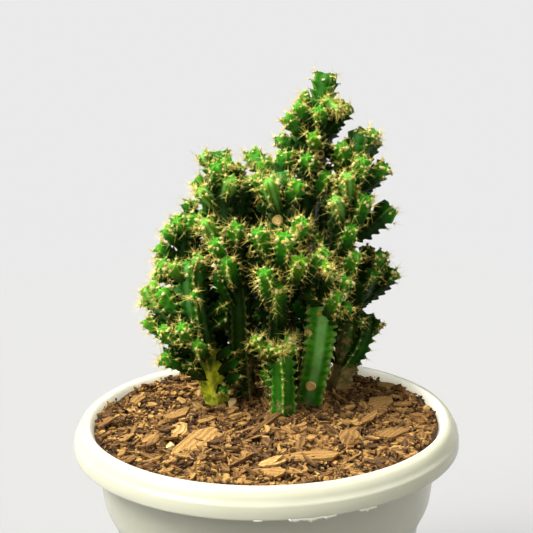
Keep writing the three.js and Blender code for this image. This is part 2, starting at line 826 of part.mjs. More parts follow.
function makeSoil() {
  const outer = (z) => {
    const wall = POT_PROFILE.slice(14, 20);
    const i = wall.findIndex(([, height]) => height <= z);
    const [r1, z1] = wall[i];
    const [r0, z0] = wall[Math.max(i - 1, 0)];
    return mix(r1, r0, z0 === z1 ? 0 : (z - z1) / (z0 - z1)) - GAP / Math.cos(Math.PI / SEGMENTS);
  };
  const edge = SOIL.level;
  const levels = [POT.floor + GAP, 65.8, 71.4, 78, 87];
  const rings = levels.map((z) => circle(outer(z), () => z));
  rings.push(circle(outer(edge), () => edge - 0.8));
  const rim = outer(edge);
  for (const share of [...SOIL.rings].reverse()) {
    rings.push(circle(rim * share, soilHeight));
  }
  let soil = solidOf(skin(rings, new THREE.Vector3(0, 0, soilHeight(0, 0))));
  const draw = seeded(404);
  let placed = 0;
  while (placed < SOIL.chips) {
    const box = chip(draw);
    if (box) {
      soil = soil.add(solidOf(box));
      placed += 1;
    }
  }
  for (const stem of STEMS) {
    const hole = rootBody(stem, ROOT.swell * stem.girth[0] + GAP / Math.cos(Math.PI / ROOT.sides), GAP);
    soil = soil.subtract(solidOf(hole));
  }
  return geometryOf(soil);
}

function circle(radius, height) {
  return Array.from({ length: SEGMENTS }, (_, k) => {
    const angle = (2 * Math.PI * k) / SEGMENTS;
    const x = radius * Math.cos(angle);
    const y = radius * Math.sin(angle);
    return new THREE.Vector3(x, y, height(x, y));
  });
}

// ---------------------------------------------------------------- the whole object

function piece(name, geometry, color, roughness) {
  const material = new THREE.MeshStandardMaterial({ color, roughness, metalness: 0, flatShading: true });
  const mesh = new THREE.Mesh(geometry, material);
  mesh.name = name;
  return mesh;
}

const group = new THREE.Group();
group.add(piece("pot", makePot(), COLOUR.pot, 0.35));
group.add(piece("soil", makeSoil(), COLOUR.soil, 0.95));
for (const { name, pieces } of growPlant()) {
  const solid = pieces.reduce((joined, body) => joined.add(body));
  group.add(piece(name, geometryOf(solid), COLOUR.cactus, 0.5));
}

export default group;
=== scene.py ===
"""Fairy castle cactus in a round cream pot: finished skins, wool, spines, bark mix and studio.

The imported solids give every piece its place. Each rooted stem is drawn again as ribbed, toothed
limbs with heads crowded between them, wool and spines at every areole and a few healed cuts. The
mix gets its bark flakes and fibres, and the pot its smooth rolled rim. Lengths are in
millimetres until a mesh is written, which turns them into metres.
"""

import logging
from dataclasses import astuple, dataclass, field
from enum import Enum

import bpy
import numpy as np
from mathutils import Matrix, Vector


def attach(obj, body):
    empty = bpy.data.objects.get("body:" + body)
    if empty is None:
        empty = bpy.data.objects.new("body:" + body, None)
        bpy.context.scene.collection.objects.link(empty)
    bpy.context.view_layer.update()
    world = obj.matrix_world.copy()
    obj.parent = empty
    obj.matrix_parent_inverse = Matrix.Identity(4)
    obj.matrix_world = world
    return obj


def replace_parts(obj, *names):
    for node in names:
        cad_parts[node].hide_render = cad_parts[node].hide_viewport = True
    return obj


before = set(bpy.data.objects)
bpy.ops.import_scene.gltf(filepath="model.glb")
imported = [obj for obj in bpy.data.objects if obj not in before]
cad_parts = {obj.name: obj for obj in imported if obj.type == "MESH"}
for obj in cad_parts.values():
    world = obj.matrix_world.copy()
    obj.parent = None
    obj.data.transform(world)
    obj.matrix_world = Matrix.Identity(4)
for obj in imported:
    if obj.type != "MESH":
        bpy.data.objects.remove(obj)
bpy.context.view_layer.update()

log = logging.getLogger("fairy_castle_cactus")

MM = 0.001
UP = np.array([0.0, 0.0, 1.0])

Array = np.ndarray
Point = tuple[float, float, float]
Colour = tuple[float, float, float]


# ---------------------------------------------------------------- small maths


def mix(low: Array | float, high: Array | float, share: Array | float) -> Array | float:
    """The value a share of the way from low to high."""
    return low + (high - low) * share


def step(low: float, high: float, value: Array | float) -> Array | float:
    """Smooth step: 0 below low, 1 above high, 3t^2 - 2t^3 between them."""
    t = np.clip((value - low) / (high - low), 0.0, 1.0)
    return t * t * (3.0 - 2.0 * t)


def unit(vectors: Array) -> Array:
    """The vectors of the last axis, each divided by its length."""
    size = np.linalg.norm(vectors, axis=-1, keepdims=True)
    return vectors / np.maximum(size, 1e-9)


def bearings(count: int) -> Array:
    """Bearings in radians, evenly spaced round a circle."""
    return 2.0 * np.pi * np.arange(count) / count


def upright(radius: Array | float, height: Array | float, angle: Array) -> Array:
    """Points round the upright axis, at a radius and a height for each bearing."""
    return np.stack([radius * np.cos(angle), radius * np.sin(angle), height + 0.0 * angle], axis=-1)


def swung(side: Array, up: Array, angle: Array) -> Array:
    """Directions turned from side towards up."""
    return side * np.cos(angle)[..., None] + up * np.sin(angle)[..., None]


def across(directions: Array) -> tuple[Array, Array]:
    """Two directions square to each direction and to each other, turning right-handed."""
    helper = np.where(np.abs(directions[:, 2:]) < 0.9, UP, np.array([1.0, 0.0, 0.0]))
    side = unit(np.cross(helper, directions))
    return side, np.cross(directions, side)


def spline(points: Array, count: int) -> Array:
    """Uniform Catmull-Rom curve through points, its ends carried on by reflection.

    Args:
        points: Control points, one row each.
        count: How many equal steps of the parameter the curve is sampled in.

    Returns:
        count + 1 points, the cubic of each span weighted by its four neighbours.
    """
    points = np.asarray(points, float)
    before = 2.0 * points[0] - points[1]
    after = 2.0 * points[-1] - points[-2]
    held = np.vstack([before, points, after])
    spans = len(points) - 1
    place = np.linspace(0.0, spans, count + 1)
    span = np.minimum(place.astype(int), spans - 1)
    t = (place - span)[:, None]
    a, b, c, d = (held[span + k] for k in range(4))
    leave, arrive = 0.5 * (c - a), 0.5 * (d - b)
    cubic = 2.0 * b - 2.0 * c + leave + arrive
    square = -3.0 * b + 3.0 * c - 2.0 * leave - arrive
    return b + leave * t + square * t**2 + cubic * t**3


class Draws:
    """Repeatable random numbers at least 0 and under 1, from a linear congruence."""

    FACTOR, STEP, SIZE, WARM_UP = 1664525, 1013904223, 2**32, 4

    def __init__(self, seed: int) -> None:
        """Starts the sequence of a seed and drops its first few numbers."""
        self.state = seed % self.SIZE
        for _ in range(self.WARM_UP):
            self.next()

    def next(self) -> float:
        """The next number."""
        self.state = (self.state * self.FACTOR + self.STEP) % self.SIZE
        return self.state / self.SIZE


# ---------------------------------------------------------------- shader maths


class Value:
    """A shader value that Python arithmetic works on: each operation adds its Math node."""

    def __init__(self, tree: "Tree", socket: bpy.types.NodeSocket) -> None:
        """Wraps an output socket of a tree."""
        self.tree = tree
        self.socket = socket

    def _math(self, operation: str, *terms: "Value | float") -> "Value":
        """A Math node of the operation on the terms."""
        node = self.tree.node("ShaderNodeMath", {"operation": operation}, dict(enumerate(terms)))
        return Value(self.tree, node.outputs[0])

    def __add__(self, other: "Value | float") -> "Value":
        """Sum."""
        return self._math("ADD", self, other)

    __radd__ = __add__

    def __sub__(self, other: "Value | float") -> "Value":
        """Difference."""
        return self._math("SUBTRACT", self, other)

    def __rsub__(self, other: float) -> "Value":
        """Difference with the plain number first."""
        return self._math("SUBTRACT", other, self)

    def __mul__(self, other: "Value | float") -> "Value":
        """Product."""
        return self._math("MULTIPLY", self, other)

    __rmul__ = __mul__

    def sine(self) -> "Value":
        """Sine."""
        return self._math("SINE", self)

    def step(self, low: float, high: float) -> "Value":
        """Smooth step from 0 at low to 1 at high, or the reverse where low is the greater.

        Args:
            low: Value that gives 0.
            high: Value that gives 1.

        Returns:
            The stepped value.
        """
        ends = {"To Min": 0.0, "To Max": 1.0} if low < high else {"To Min": 1.0, "To Max": 0.0}
        limits = {"From Min": min(low, high), "From Max": max(low, high)}
        settings = {"interpolation_type": "SMOOTHSTEP"}
        node = self.tree.node("ShaderNodeMapRange", settings, {"Value": self, **limits, **ends})
        return Value(self.tree, node.outputs[0])


class Tree:
    """A node tree, written as expressions."""

    def __init__(self, nodes: bpy.types.NodeTree) -> None:
        """Wraps a node tree."""
        self.nodes = nodes

    def feed(self, socket: bpy.types.NodeSocket, value: object) -> None:
        """Links a wrapped value or socket into a socket, or sets it as a constant.

        Args:
            socket: The input to set.
            value: A value, a socket, a colour or a plain number.
        """
        if isinstance(value, Value):
            self.nodes.links.new(value.socket, socket)
        elif isinstance(value, bpy.types.NodeSocket):
            self.nodes.links.new(value, socket)
        elif socket.type == "RGBA":
            socket.default_value = (*value, 1.0)
        else:
            socket.default_value = value

    def node(self, kind: str, settings: dict[str, object], inputs: dict) -> bpy.types.Node:
        """Adds a node.

        Args:
            kind: Blender's name of the node type.
            settings: Properties of the node, set first. "stops" holds a ramp's places and colours.
            inputs: Values or links by socket index, identifier or name.

        Returns:
            The new node.
        """
        made = self.nodes.nodes.new(kind)
        for key, value in settings.items():
            if key == "stops":
                self.stops(made.color_ramp, value)
            else:
                setattr(made, key, value)
        sockets = {s.name: s for s in reversed(made.inputs)}
        sockets.update({s.identifier: s for s in made.inputs})
        sockets.update(dict(enumerate(made.inputs)))
        for key, value in inputs.items():
            self.feed(sockets[key], value)
        return made

    @staticmethod
    def stops(ramp: bpy.types.ColorRamp, stops: list[tuple[float, Colour]]) -> None:
        """Gives a ramp its stops.

        Args:
            ramp: The ramp.
            stops: Place from 0 to 1 and colour of each, in order.
        """
        while len(ramp.elements) < len(stops):
            ramp.elements.new(0.5)
        for element, (place, colour) in zip(ramp.elements, stops):
            element.position = place
            element.color = (*colour, 1.0)

    def ramp(self, value: Value, stops: list[tuple[float, Colour]]) -> Value:
        """A value turned into a colour through a ramp."""
        node = self.node("ShaderNodeValToRGB", {"stops": stops}, {"Fac": value})
        return Value(self, node.outputs["Color"])


class Shader(Tree):
    """One material's node tree, with a Principled surface."""

    def __init__(self, name: str) -> None:
        """Makes the material.

        Args:
            name: Name of the material.
        """
        self.material = bpy.data.materials.new(name)
        self.material.use_nodes = True
        super().__init__(self.material.node_tree)
        self.nodes.nodes.clear()
        self.surface = self.node("ShaderNodeBsdfPrincipled", {}, {})
        self.node("ShaderNodeOutputMaterial", {}, {"Surface": self.surface.outputs[0]})
        self.place = self.node("ShaderNodeTexCoord", {}, {}).outputs["Object"]

    def attribute(self, name: str) -> Value:
        """A number stored on the mesh's points."""
        node = self.node("ShaderNodeAttribute", {"attribute_name": name}, {})
        return Value(self, node.outputs["Fac"])

    def noise(self, per_metre: float, detail: float = 3.0, rough: float = 0.55) -> Value:
        """Fractal noise in object space, 0 to 1 round 0.5."""
        inputs = {"Vector": self.place, "Scale": per_metre, "Detail": detail, "Roughness": rough}
        return Value(self, self.node("ShaderNodeTexNoise", {}, inputs).outputs["Fac"])

    def cells(self, per_metre: float) -> Value:
        """Distance to the nearest of scattered points in object space."""
        node = self.node("ShaderNodeTexVoronoi", {}, {"Vector": self.place, "Scale": per_metre})
        return Value(self, node.outputs["Distance"])

    def blend(self, share: Value | float, low: object, high: object) -> Value:
        """Two colours mixed by a share.

        Args:
            share: 0 for the low colour to 1 for the high one.
            low: A colour or a value.
            high: The same.

        Returns:
            The mixed colour.
        """
        settings = {"data_type": "RGBA", "clamp_factor": True}
        inputs = {"Factor_Float": share, "A_Color": low, "B_Color": high}
        node = self.node("ShaderNodeMix", settings, inputs)
        return Value(self, next(s for s in node.outputs if s.identifier == "Result_Color"))

    def relief(self, height: Value, depth_mm: float) -> Value:
        """A bumped normal from a height, whose full range stands for depth_mm."""
        inputs = {"Height": height, "Distance": depth_mm * MM, "Strength": 1.0}
        return Value(self, self.node("ShaderNodeBump", {}, inputs).outputs["Normal"])

    def dress(self, **inputs: object) -> bpy.types.Material:
        """Feeds the surface's sockets, an underscore for a space, and gives the material.

        Args:
            inputs: What each socket of the Principled surface gets, by name.

        Returns:
            The finished material.
        """
        names = {s.name.replace(" ", "_"): s for s in self.surface.inputs}
        for key, value in inputs.items():
            self.feed(names[key], value)
        return self.material


# ---------------------------------------------------------------- finishes


@dataclass(frozen=True)
class CactusSkin:
    """Waxy ribbed skin: bright at the young heads, dark on old wood and in painted shade, with
    bloom and cork.

    Reads these numbers of the mesh: ridge (1 on a rib's edge), age (0 young to 1 old), bloom
    (pale wax, partly a painted highlight), cork (tan bark), sun (yellowed foot), shade (painted
    shade deep in the clump) and tint (a fixed draw for each limb).
    """

    young: Colour = (0.056, 0.33, 0.002)
    grown: Colour = (0.011, 0.122, 0.001)
    # Dark green of old wood, also used for painted shade in the furrows and deep in the clump.
    old: Colour = (0.005, 0.028, 0.001)
    lime: Colour = (0.20, 0.40, 0.004)
    # Pale wax bloom, brightened into a painted highlight band along the faces.
    wax: Colour = (0.34, 0.80, 0.25)
    # Pale rib edges: the ribs' own cream margins, brightened as painted highlights on the ridges.
    edge: Colour = (0.60, 0.66, 0.22)
    bark: Colour = (0.50, 0.36, 0.15)
    # The foot's own straw yellow, made paler than that to stand in for light it lacks: partly
    # painted light.
    straw: Colour = (0.84, 0.95, 0.05)
    # Near black that bark is painted towards as shade deep in the clump.
    painted_shade_black: Colour = (0.010, 0.010, 0.004)
    gloss: float = 0.34
    gloss_sway: float = 0.25
    relief_mm: float = 0.16
    fine_per_metre: float = 900.0
    broad_per_metre: float = 160.0
    pores_per_metre: float = 3200.0

    def material(self) -> bpy.types.Material:
        """Builds the skin: greens by wear and painted shade, then painted shade in the furrows,
        wax and edges partly painted as highlights, sun and cork over them.

        Returns:
            The finished material.
        """
        s = Shader("cactus_skin")
        ridge, age, tint = s.attribute("ridge"), s.attribute("age"), s.attribute("tint")
        shade, bloom, sun = s.attribute("shade"), s.attribute("bloom"), s.attribute("sun")
        cork, fine = s.attribute("cork"), s.noise(self.fine_per_metre, 4.0)
        grit, cloud = fine - 0.5, s.noise(self.broad_per_metre, 2.0) - 0.5
        # Painted shade: the crowding's shade, lifted off the yellowed foot and off cork.
        painted_shade = shade * (1.0 - sun * 0.9) * (1.0 - cork * 0.7)
        worn_and_shaded = age + painted_shade * 0.9 + cloud * 0.45 + grit * 0.5 + (tint - 0.5) * 0.3
        green = s.blend(worn_and_shaded.step(0.05, 0.55), self.young, self.grown)
        green = s.blend(worn_and_shaded.step(0.5, 1.1), green, self.old)
        # Lime tone on some young heads, kept out of the painted shade.
        young_and_unshaded = (1.0 - age) * (1.0 - painted_shade)
        green = s.blend((tint - 0.62).step(0.0, 0.3) * young_and_unshaded * 0.6, green, self.lime)
        # Painted shade in the furrows: they are darkened towards the old green.
        green = s.blend((1.0 - ridge.step(0.0, 0.55)) * 0.45 * (1.0 - bloom), green, self.old)
        # Wax bloom along the middle of each face, bright as a painted highlight; less of it in
        # painted shade.
        pale = bloom * (0.7 + grit * 0.7 + cloud * 1.1)
        pale = pale * (1.0 - ridge.step(0.0, 0.38) * 0.95) * (1.0 - painted_shade * 0.8)
        green = s.blend(pale, green, self.wax)
        # Yellowed foot: its own yellow, partly painted light.
        green = s.blend(sun * (0.72 + cloud * 3.0 + grit * 1.3), green, self.straw)
        # Rib edges lightened: partly their cream margins, partly painted highlight; none in painted
        # shade.
        rim = ridge.step(0.6, 1.0) * (0.34 + grit * 0.9) * (1.0 - painted_shade * 0.9)
        green = s.blend(rim, green, self.edge)
        scab = (cork + cloud * 0.9 + grit * 0.6).step(0.35, 0.75)
        # Cork, darkened towards near black where it lies in painted shade.
        green = s.blend(scab, green, s.blend(painted_shade * 0.4, self.bark, self.painted_shade_black))
        height = fine * 0.6 + s.cells(self.pores_per_metre) * 0.3 + scab * fine * 1.4
        return s.dress(
            Base_Color=green,
            Roughness=self.gloss + grit * self.gloss_sway + scab * 0.4,
            Normal=s.relief(height, self.relief_mm),
            Specular_IOR_Level=0.05,
        )


@dataclass(frozen=True)
class AreoleWool:
    """Short felt of the areoles: cream when young, greying to tan, fuzzy all over."""

    cream: Colour = (1.0, 0.92, 0.42)
    grey: Colour = (0.34, 0.24, 0.055)
    tan: Colour = (0.66, 0.47, 0.07)

    def material(self) -> bpy.types.Material:
        """Builds the felt.

        Returns:
            The finished material.
        """
        s = Shader("areole_wool")
        tint, fine = s.attribute("tint"), s.noise(2600.0, 3.0)
        # Age greys the wool; deep in the clump that age is raised, which paints shade.
        wool = s.blend(s.attribute("age").step(0.15, 0.9), self.cream, self.grey)
        wool = s.blend((tint + (fine - 0.5) * 0.8).step(0.62, 1.0), wool, self.tan)
        normal = s.relief(fine + s.cells(5200.0) * 0.6, 0.35)
        return s.dress(Base_Color=wool, Roughness=0.95, Normal=normal, Specular_IOR_Level=0.1)


@dataclass(frozen=True)
class SpineHorn:
    """Slim horny spines: golden at the foot, straw along the length, brown at the point."""

    foot: Colour = (0.76, 0.58, 0.06)
    straw: Colour = (1.0, 0.88, 0.22)
    point: Colour = (0.52, 0.32, 0.05)

    def material(self) -> bpy.types.Material:
        """Builds the horn.

        Returns:
            The finished material.
        """
        s = Shader("spine_horn")
        along, tint = s.attribute("along"), s.attribute("tint")
        horn = s.blend(along.step(0.0, 0.4), self.foot, self.straw)
        horn = s.blend(along.step(0.6, 1.0) * 0.7, horn, self.point)
        horn = s.blend(tint.step(0.6, 1.0) * 0.6, horn, self.point)
        return s.dress(Base_Color=horn, Roughness=0.42, Specular_IOR_Level=0.25)


@dataclass(frozen=True)
class ScarCork:
    """Dry tan cork where heads were cut away, ringed and cracked."""

    pale: Colour = (0.84, 0.60, 0.22)
    brown: Colour = (0.36, 0.20, 0.06)

    def material(self) -> bpy.types.Material:
        """Builds the cork.

        Returns:
            The finished material.
        """
        s = Shader("scar_cork")
        fine = s.noise(1500.0, 5.0, 0.7)
        ring = (s.attribute("ridge") * 16.0 + fine * 3.0).sine()
        shade = (fine * 0.7 + ring * 0.3 + s.attribute("ridge") * 0.3).step(0.45, 1.0)
        return s.dress(
            Base_Color=s.blend(shade, self.pale, self.brown),
            Roughness=0.85,
            Normal=s.relief(fine + ring * 0.2, 0.25),
            Specular_IOR_Level=0.1,
        )


@dataclass(frozen=True)
class CreamPlastic:
    """Thin moulded plastic, cream white and glossy, with faint flow marks and a little dust.

    The inside of its thin upper wall (inner, 0 to 1) is painted light: lightened and glowing, for
    light through the plastic.
    """

    cream: Colour = (0.605, 0.605, 0.49)
    shade: Colour = (0.55, 0.55, 0.425)
    dust: Colour = (0.62, 0.56, 0.44)
    # Colour of the painted light inside the rim, and the share of it that glows.
    painted_light: Colour = (0.98, 0.96, 0.80)
    through: float = 0.28
    flow_per_metre: float = 35.0
    dust_per_metre: float = 1400.0
    scatter: Colour = (1.0, 0.96, 0.72)
    scatter_metres: float = 0.006

    def material(self) -> bpy.types.Material:
        """Builds the plastic.

        Returns:
            The finished material.
        """
        s = Shader("cream_plastic")
        broad, fine = s.noise(self.flow_per_metre, 2.0), s.noise(self.dust_per_metre, 4.0, 0.7)
        body = s.blend(broad.step(0.35, 0.75) * 0.5, self.cream, self.shade)
        speck = (fine + (broad - 0.5) * 0.3).step(0.71, 0.8) * 0.35
        body = s.blend(speck, body, self.dust)
        # Painted light: the inside of the rim is lightened and glows.
        inner = s.attribute("inner")
        body = s.blend(inner, body, self.painted_light)
        painted_glow = s.blend(inner * self.through, (0.0, 0.0, 0.0), self.painted_light)
        rough = 0.24 + (broad - 0.5) * 0.12 + speck * 0.4
        return s.dress(
            Base_Color=body,
            Roughness=rough,
            Normal=s.relief(broad + fine * 0.03, 0.12),
            Subsurface_Weight=0.5,
            Subsurface_Radius=self.scatter,
            Subsurface_Scale=self.scatter_metres,
            Emission_Color=painted_glow,
            Emission_Strength=1.0,
        )


@dataclass(frozen=True)
class BarkMix:
    """Shredded bark: each flake its own brown, from near black to pale wood, with grain."""

    stops: tuple[tuple[float, Colour], ...] = (
        (0.0, (0.028, 0.012, 0.004)),
        (0.25, (0.092, 0.040, 0.010)),
        (0.52, (0.305, 0.152, 0.036)),
        (0.8, (0.52, 0.300, 0.085)),
        (1.0, (0.80, 0.59, 0.26)),
    )
    fine_per_metre: float = 1300.0
    broad_per_metre: float = 260.0

    def material(self) -> bpy.types.Material:
        """Builds the bark.

        Returns:
            The finished material.
        """
        s = Shader("bark_mix")
        tint, grain = s.attribute("tint"), s.attribute("grain")
        fine, broad = s.noise(self.fine_per_metre, 5.0, 0.7), s.noise(self.broad_per_metre)
        streak = (grain * 3.6 + broad * 9.0 + fine * 4.0).sine()
        tone = tint + (fine - 0.5) * 0.5 + (broad - 0.5) * 0.24 + streak * 0.075
        normal = s.relief(fine * 0.8 + streak * 0.18, 0.5)
        return s.dress(Base_Color=s.ramp(tone, list(self.stops)), Roughness=0.9, Normal=normal)


@dataclass(frozen=True)
class StudioPaper:
    """Plain pale paper that the pot stands on, and that gives its own light further out."""

    white: Colour = (0.373, 0.375, 0.388)
    black: Colour = (0.0, 0.0, 0.0)
    glow: Colour = (0.823, 0.823, 0.823)

    def floor(self) -> bpy.types.Material:
        """Paper whose own light takes over further from the middle, by the glow of the mesh.

        Returns:
            The finished material.
        """
        s = Shader("studio_paper")
        glow = s.attribute("glow")
        light = s.blend(glow, self.black, self.glow)
        return self.matt(s, s.blend(glow, self.white, self.black), light)

    def backdrop(self) -> bpy.types.Material:
        """Evenly lit backdrop."""
        return self.matt(Shader("studio_backdrop"), self.black, self.glow)

    @staticmethod
    def matt(s: Shader, base: object, light: object) -> bpy.types.Material:
        """A matt surface of a base colour that gives off a light of its own.

        Args:
            s: Tree of the material.
            base: Base colour.
            light: Colour of its light.

        Returns:
            The finished material.
        """
        return s.dress(
            Base_Color=base,
            Roughness=1.0,
            Specular_IOR_Level=0.0,
            Emission_Color=light,
            Emission_Strength=1.0,
        )


# ---------------------------------------------------------------- meshes


@dataclass
class Shell:
    """Closed surfaces gathered into one mesh, with numbers stored on their points."""

    points: list[Array] = field(default_factory=list)
    corners: list[Array] = field(default_factory=list)
    numbers: dict[str, list[Array]] = field(default_factory=dict)
    count: int = 0

    def add(self, points: Array, faces: list[Array], **numbers: Array | float) -> None:
        """Adds a surface.

        Args:
            points: Its points in millimetres, shape (n, 3).
            faces: Arrays of corner indices, each of triangles or of four-sided faces.
            numbers: Values for each point by name, arrays or one number for all.
        """
        self.points.append(points)
        self.corners += [block + self.count for block in faces if len(block)]
        for name, value in numbers.items():
            spread = np.broadcast_to(np.asarray(value, float), (len(points),))
            self.numbers.setdefault(name, []).append(spread)
        self.count += len(points)

    def tube(self, grid: Array, ends: Array, **numbers: Array | float) -> None:
        """Adds rows of points closed round each row and, by the two ends, over each end."""
        faces = tube_faces(*grid.shape[:2])
        self.add(np.vstack([grid.reshape(-1, 3), ends]), faces, **numbers)

    @property
    def triangles(self) -> int:
        """How many triangles the faces come to."""
        return sum(len(block) * (block.shape[1] - 2) for block in self.corners)

    def build(
        self, name: str, material: bpy.types.Material, smooth: bool = True
    ) -> bpy.types.Object:
        """Writes the mesh in metres and gives its object.

        Args:
            name: Name of the piece.
            material: Its finish.
            smooth: Whether the faces are shaded as one smooth skin.

        Returns:
            The object, linked into the scene.
        """
        mesh = bpy.data.meshes.new(name)
        loops = np.concatenate([block.ravel() for block in self.corners]).astype(np.int32)
        sizes = np.concatenate([np.full(len(b), b.shape[1]) for b in self.corners]).astype(np.int32)
        mesh.vertices.add(self.count)
        mesh.vertices.foreach_set("co", (np.vstack(self.points) * MM).astype(np.float32).ravel())
        mesh.loops.add(len(loops))
        mesh.loops.foreach_set("vertex_index", loops)
        mesh.polygons.add(len(sizes))
        starts = np.concatenate([[0], np.cumsum(sizes)[:-1]]).astype(np.int32)
        mesh.polygons.foreach_set("loop_start", starts)
        mesh.polygons.foreach_set("loop_total", sizes)
        mesh.polygons.foreach_set("use_smooth", np.full(len(sizes), smooth))
        for key, values in self.numbers.items():
            layer = mesh.attributes.new(key, "FLOAT", "POINT")
            layer.data.foreach_set("value", np.concatenate(values).astype(np.float32))
        mesh.update(calc_edges=True)
        mesh.materials.append(material)
        made = bpy.data.objects.new(name, mesh)
        bpy.context.scene.collection.objects.link(made)
        return made


def tube_faces(rows: int, sides: int) -> list[Array]:
    """Faces of rows x sides points, closed round each row and by a point at either end.

    The root's point comes after the grid's and the tip's after that. Rows run from root to tip
    and sides anticlockwise seen from the tip, so the faces point outwards.

    Args:
        rows: How many rows of points there are.
        sides: How many points each row has.

    Returns:
        Four-sided faces of the grid, then the triangles over the root and over the tip.
    """
    k = np.arange(sides)
    turn = (k + 1) % sides
    start = np.arange(rows - 1)[:, None] * sides
    quads = np.stack([start + k, start + turn, start + sides + turn, start + sides + k], axis=-1)
    root, tip, last = rows * sides, rows * sides + 1, (rows - 1) * sides
    fan_root = np.stack([np.full(sides, root), turn, k], axis=-1)
    fan_tip = np.stack([np.full(sides, tip), last + k, last + turn], axis=-1)
    return [quads.reshape(-1, 4), fan_root, fan_tip]


def copies(faces: Array, shape_points: int, count: int) -> Array:
    """The faces of one small shape, repeated for count shapes stored one after another."""
    start = np.arange(count)[:, None, None] * shape_points
    return (faces[None] + start).reshape(-1, faces.shape[1])


def present(piece: bpy.types.Object) -> bpy.types.Object:
    """Fixes a finished piece to the object's one body."""
    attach(piece, "root")
    return piece


# ---------------------------------------------------------------- the plant's plan


class Foot(Enum):
    """What the skin near a column's foot has turned to."""

    GREEN = "green"
    CORKY = "corky"
    YELLOW = "yellow"


# How thick the cork lies at a column's foot and how far up the column it reaches.
CORK = {Foot.GREEN: (0.46, 0.5), Foot.CORKY: (0.72, 0.85), Foot.YELLOW: (0.45, 0.22)}


@dataclass(frozen=True)
class StemPlan:
    """A rooted stem: its column and the branches that grow from it.

    Attributes:
        name: The solid that the finished stem stands for.
        path: Points that the column's middle passes, from the mix up.
        girth: Rib radius at the foot and at the tip.
        ribs: How many ribs the column has.
        turn: Bearing of the first rib in degrees.
        branches: The limb each grows from (0 is the column), how far along it, its tip, its
            rib radius and, where it bends, a point that it passes.
        foot: What the skin near the foot has turned to.
        bloom: How much pale wax lies on the column's faces, brightened as a painted highlight; it
            also keeps them out of the painted shade.
    """

    name: str
    path: tuple[Point, ...]
    girth: tuple[float, float]
    ribs: int
    turn: float
    branches: tuple[tuple, ...]
    foot: Foot = Foot.GREEN
    bloom: float = 0.15


